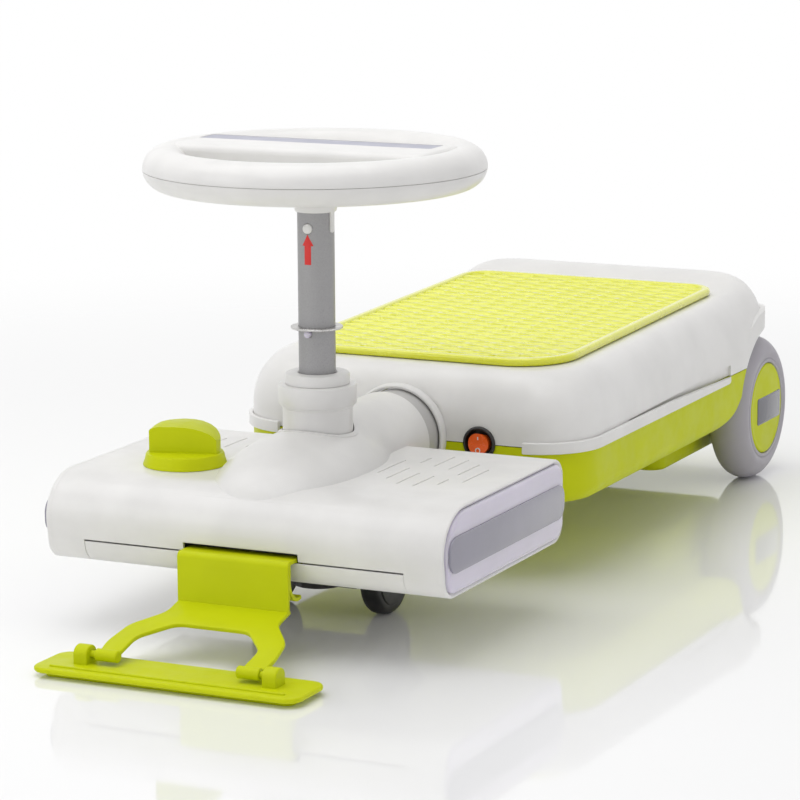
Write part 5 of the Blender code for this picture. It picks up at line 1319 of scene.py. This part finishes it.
def background(tree):
    """One for camera, glossy and transmission rays, which see the plain white, and nought for the rest."""
    path = tree.nodes.new("ShaderNodeLightPath")
    seen = path.outputs["Is Camera Ray"]
    for kind in ("Is Glossy Ray", "Is Transmission Ray"):
        either = tree.nodes.new("ShaderNodeMath")
        either.operation = "MAXIMUM"
        tree.links.new(seen, either.inputs[0])
        tree.links.new(path.outputs[kind], either.inputs[1])
        seen = either.outputs[0]
    return seen


def world():
    scene_world = bpy.data.worlds.new("studio")
    bpy.context.scene.world = scene_world
    scene_world.use_nodes = True
    tree = scene_world.node_tree
    tree.nodes.clear()
    out = tree.nodes.new("ShaderNodeOutputWorld")
    mix = tree.nodes.new("ShaderNodeMixShader")
    soft = tree.nodes.new("ShaderNodeBackground")
    white = tree.nodes.new("ShaderNodeBackground")
    white.inputs["Color"].default_value = (1.0, 1.0, 1.0, 1.0)
    white.inputs["Strength"].default_value = 1.0
    soft.inputs["Strength"].default_value = WORLD_STRENGTH
    place = tree.nodes.new("ShaderNodeTexCoord")
    split = tree.nodes.new("ShaderNodeSeparateXYZ")
    tree.links.new(place.outputs["Generated"], split.inputs[0])
    sky = ramp(tree, split.outputs["Z"], (0.55, 0.55, 0.57), (1.0, 1.0, 1.0), 0.0, 0.85)
    tree.links.new(sky, soft.inputs["Color"])
    tree.links.new(background(tree), mix.inputs["Fac"])
    tree.links.new(soft.outputs[0], mix.inputs[1])
    tree.links.new(white.outputs[0], mix.inputs[2])
    tree.links.new(mix.outputs[0], out.inputs["Surface"])


def floor():
    bm = bmesh.new()
    bmesh.ops.create_grid(bm, x_segments=1, y_segments=1, size=FLOOR_SIZE)
    mesh = bpy.data.meshes.new("studio_floor")
    bm.to_mesh(mesh)
    bm.free()
    obj = new_object("studio_floor", mesh)
    material = bpy.data.materials.new("studio_floor")
    material.use_nodes = True
    tree = material.node_tree
    tree.nodes.clear()
    out = tree.nodes.new("ShaderNodeOutputMaterial")
    diffuse = tree.nodes.new("ShaderNodeBsdfDiffuse")
    diffuse.inputs["Color"].default_value = (0.98, 0.98, 0.98, 1.0)
    lift = tree.nodes.new("ShaderNodeEmission")
    lift.inputs["Color"].default_value = (1.0, 1.0, 1.0, 1.0)
    lift.inputs["Strength"].default_value = 1.0
    place = tree.nodes.new("ShaderNodeTexCoord")
    distance = tree.nodes.new("ShaderNodeVectorMath")
    distance.operation = "LENGTH"
    tree.links.new(place.outputs["Object"], distance.inputs[0])
    far = tree.nodes.new("ShaderNodeMapRange")
    far.interpolation_type = "SMOOTHSTEP"
    far.inputs["From Min"].default_value = FLOOR_NEAR
    far.inputs["From Max"].default_value = FLOOR_FAR
    far.inputs["To Min"].default_value = FLOOR_LIFT
    far.inputs["To Max"].default_value = 1.0
    tree.links.new(distance.outputs["Value"], far.inputs["Value"])
    share = tree.nodes.new("ShaderNodeMath")
    share.operation = "MULTIPLY"
    tree.links.new(far.outputs["Result"], share.inputs[0])
    tree.links.new(background(tree), share.inputs[1])
    shown = tree.nodes.new("ShaderNodeMixShader")
    tree.links.new(share.outputs[0], shown.inputs["Fac"])
    tree.links.new(diffuse.outputs[0], shown.inputs[1])
    tree.links.new(lift.outputs[0], shown.inputs[2])
    gloss = tree.nodes.new("ShaderNodeBsdfGlossy")
    gloss.inputs["Color"].default_value = (1.0, 1.0, 1.0, 1.0)
    gloss.inputs["Roughness"].default_value = 0.05
    fresnel = tree.nodes.new("ShaderNodeFresnel")
    fresnel.inputs["IOR"].default_value = 1.6
    mix = tree.nodes.new("ShaderNodeMixShader")
    tree.links.new(fresnel.outputs[0], mix.inputs["Fac"])
    tree.links.new(shown.outputs[0], mix.inputs[1])
    tree.links.new(gloss.outputs[0], mix.inputs[2])
    tree.links.new(mix.outputs[0], out.inputs["Surface"])
    obj.data.materials.append(material)


def area_light(name, position, target, size, power):
    data = bpy.data.lights.new(name, "AREA")
    data.shape = "RECTANGLE"
    data.size, data.size_y = size
    data.energy = power
    light = bpy.data.objects.new(name, data)
    bpy.context.scene.collection.objects.link(light)
    light.location = point(*position)
    direction = point(*target) - light.location
    light.rotation_mode = "QUATERNION"
    light.rotation_quaternion = direction.to_track_quat("-Z", "Y")


def camera():
    data = bpy.data.cameras.new("camera")
    data.sensor_width = 36.0
    data.lens = 36.0 * FOCAL_SHARE
    data.clip_start = 0.05
    data.clip_end = 100.0
    obj = bpy.data.objects.new("camera", data)
    bpy.context.scene.collection.objects.link(obj)
    azimuth, elevation, roll = (math.radians(a) for a in CAMERA_ANGLES)
    level = math.cos(elevation)
    forward = Vector((-math.sin(azimuth) * level, math.cos(azimuth) * level, -math.sin(elevation)))
    turn = (forward.to_track_quat("-Z", "Y").to_matrix() @ Matrix.Rotation(roll, 3, "Z")).to_4x4()
    obj.matrix_world = Matrix.Translation(point(*CAMERA_POSITION)) @ turn
    bpy.context.scene.camera = obj


def stage():
    camera()
    world()
    floor()
    area_light("overhead", (-350.0, -150.0, 2300.0), (0.0, 200.0, 100.0), (2.6, 2.6), 31.0)
    area_light("front", (-1500.0, -2100.0, 1300.0), (0.0, 100.0, 150.0), (1.8, 1.4), 8.5)
    area_light("side", (2300.0, 300.0, 1100.0), (50.0, 350.0, 120.0), (0.8, 1.6), 2.0)
    bpy.context.scene.view_settings.view_transform = "Standard"


def build():
    steering_wheel()
    wheel_hub()
    column()
    collar()
    head()
    sides(end_cap)
    mode_knob()
    neck()
    upper_shell()
    lower_shell()
    sides(bumper)
    deck_pad()
    rocker_switch()
    sides(rear_wheel)
    sides(front_wheel)
    drive_cover()
    mop_arm()
    mop_plate()
    carry_over()


build()
stage()
bpy.context.view_layer.update()
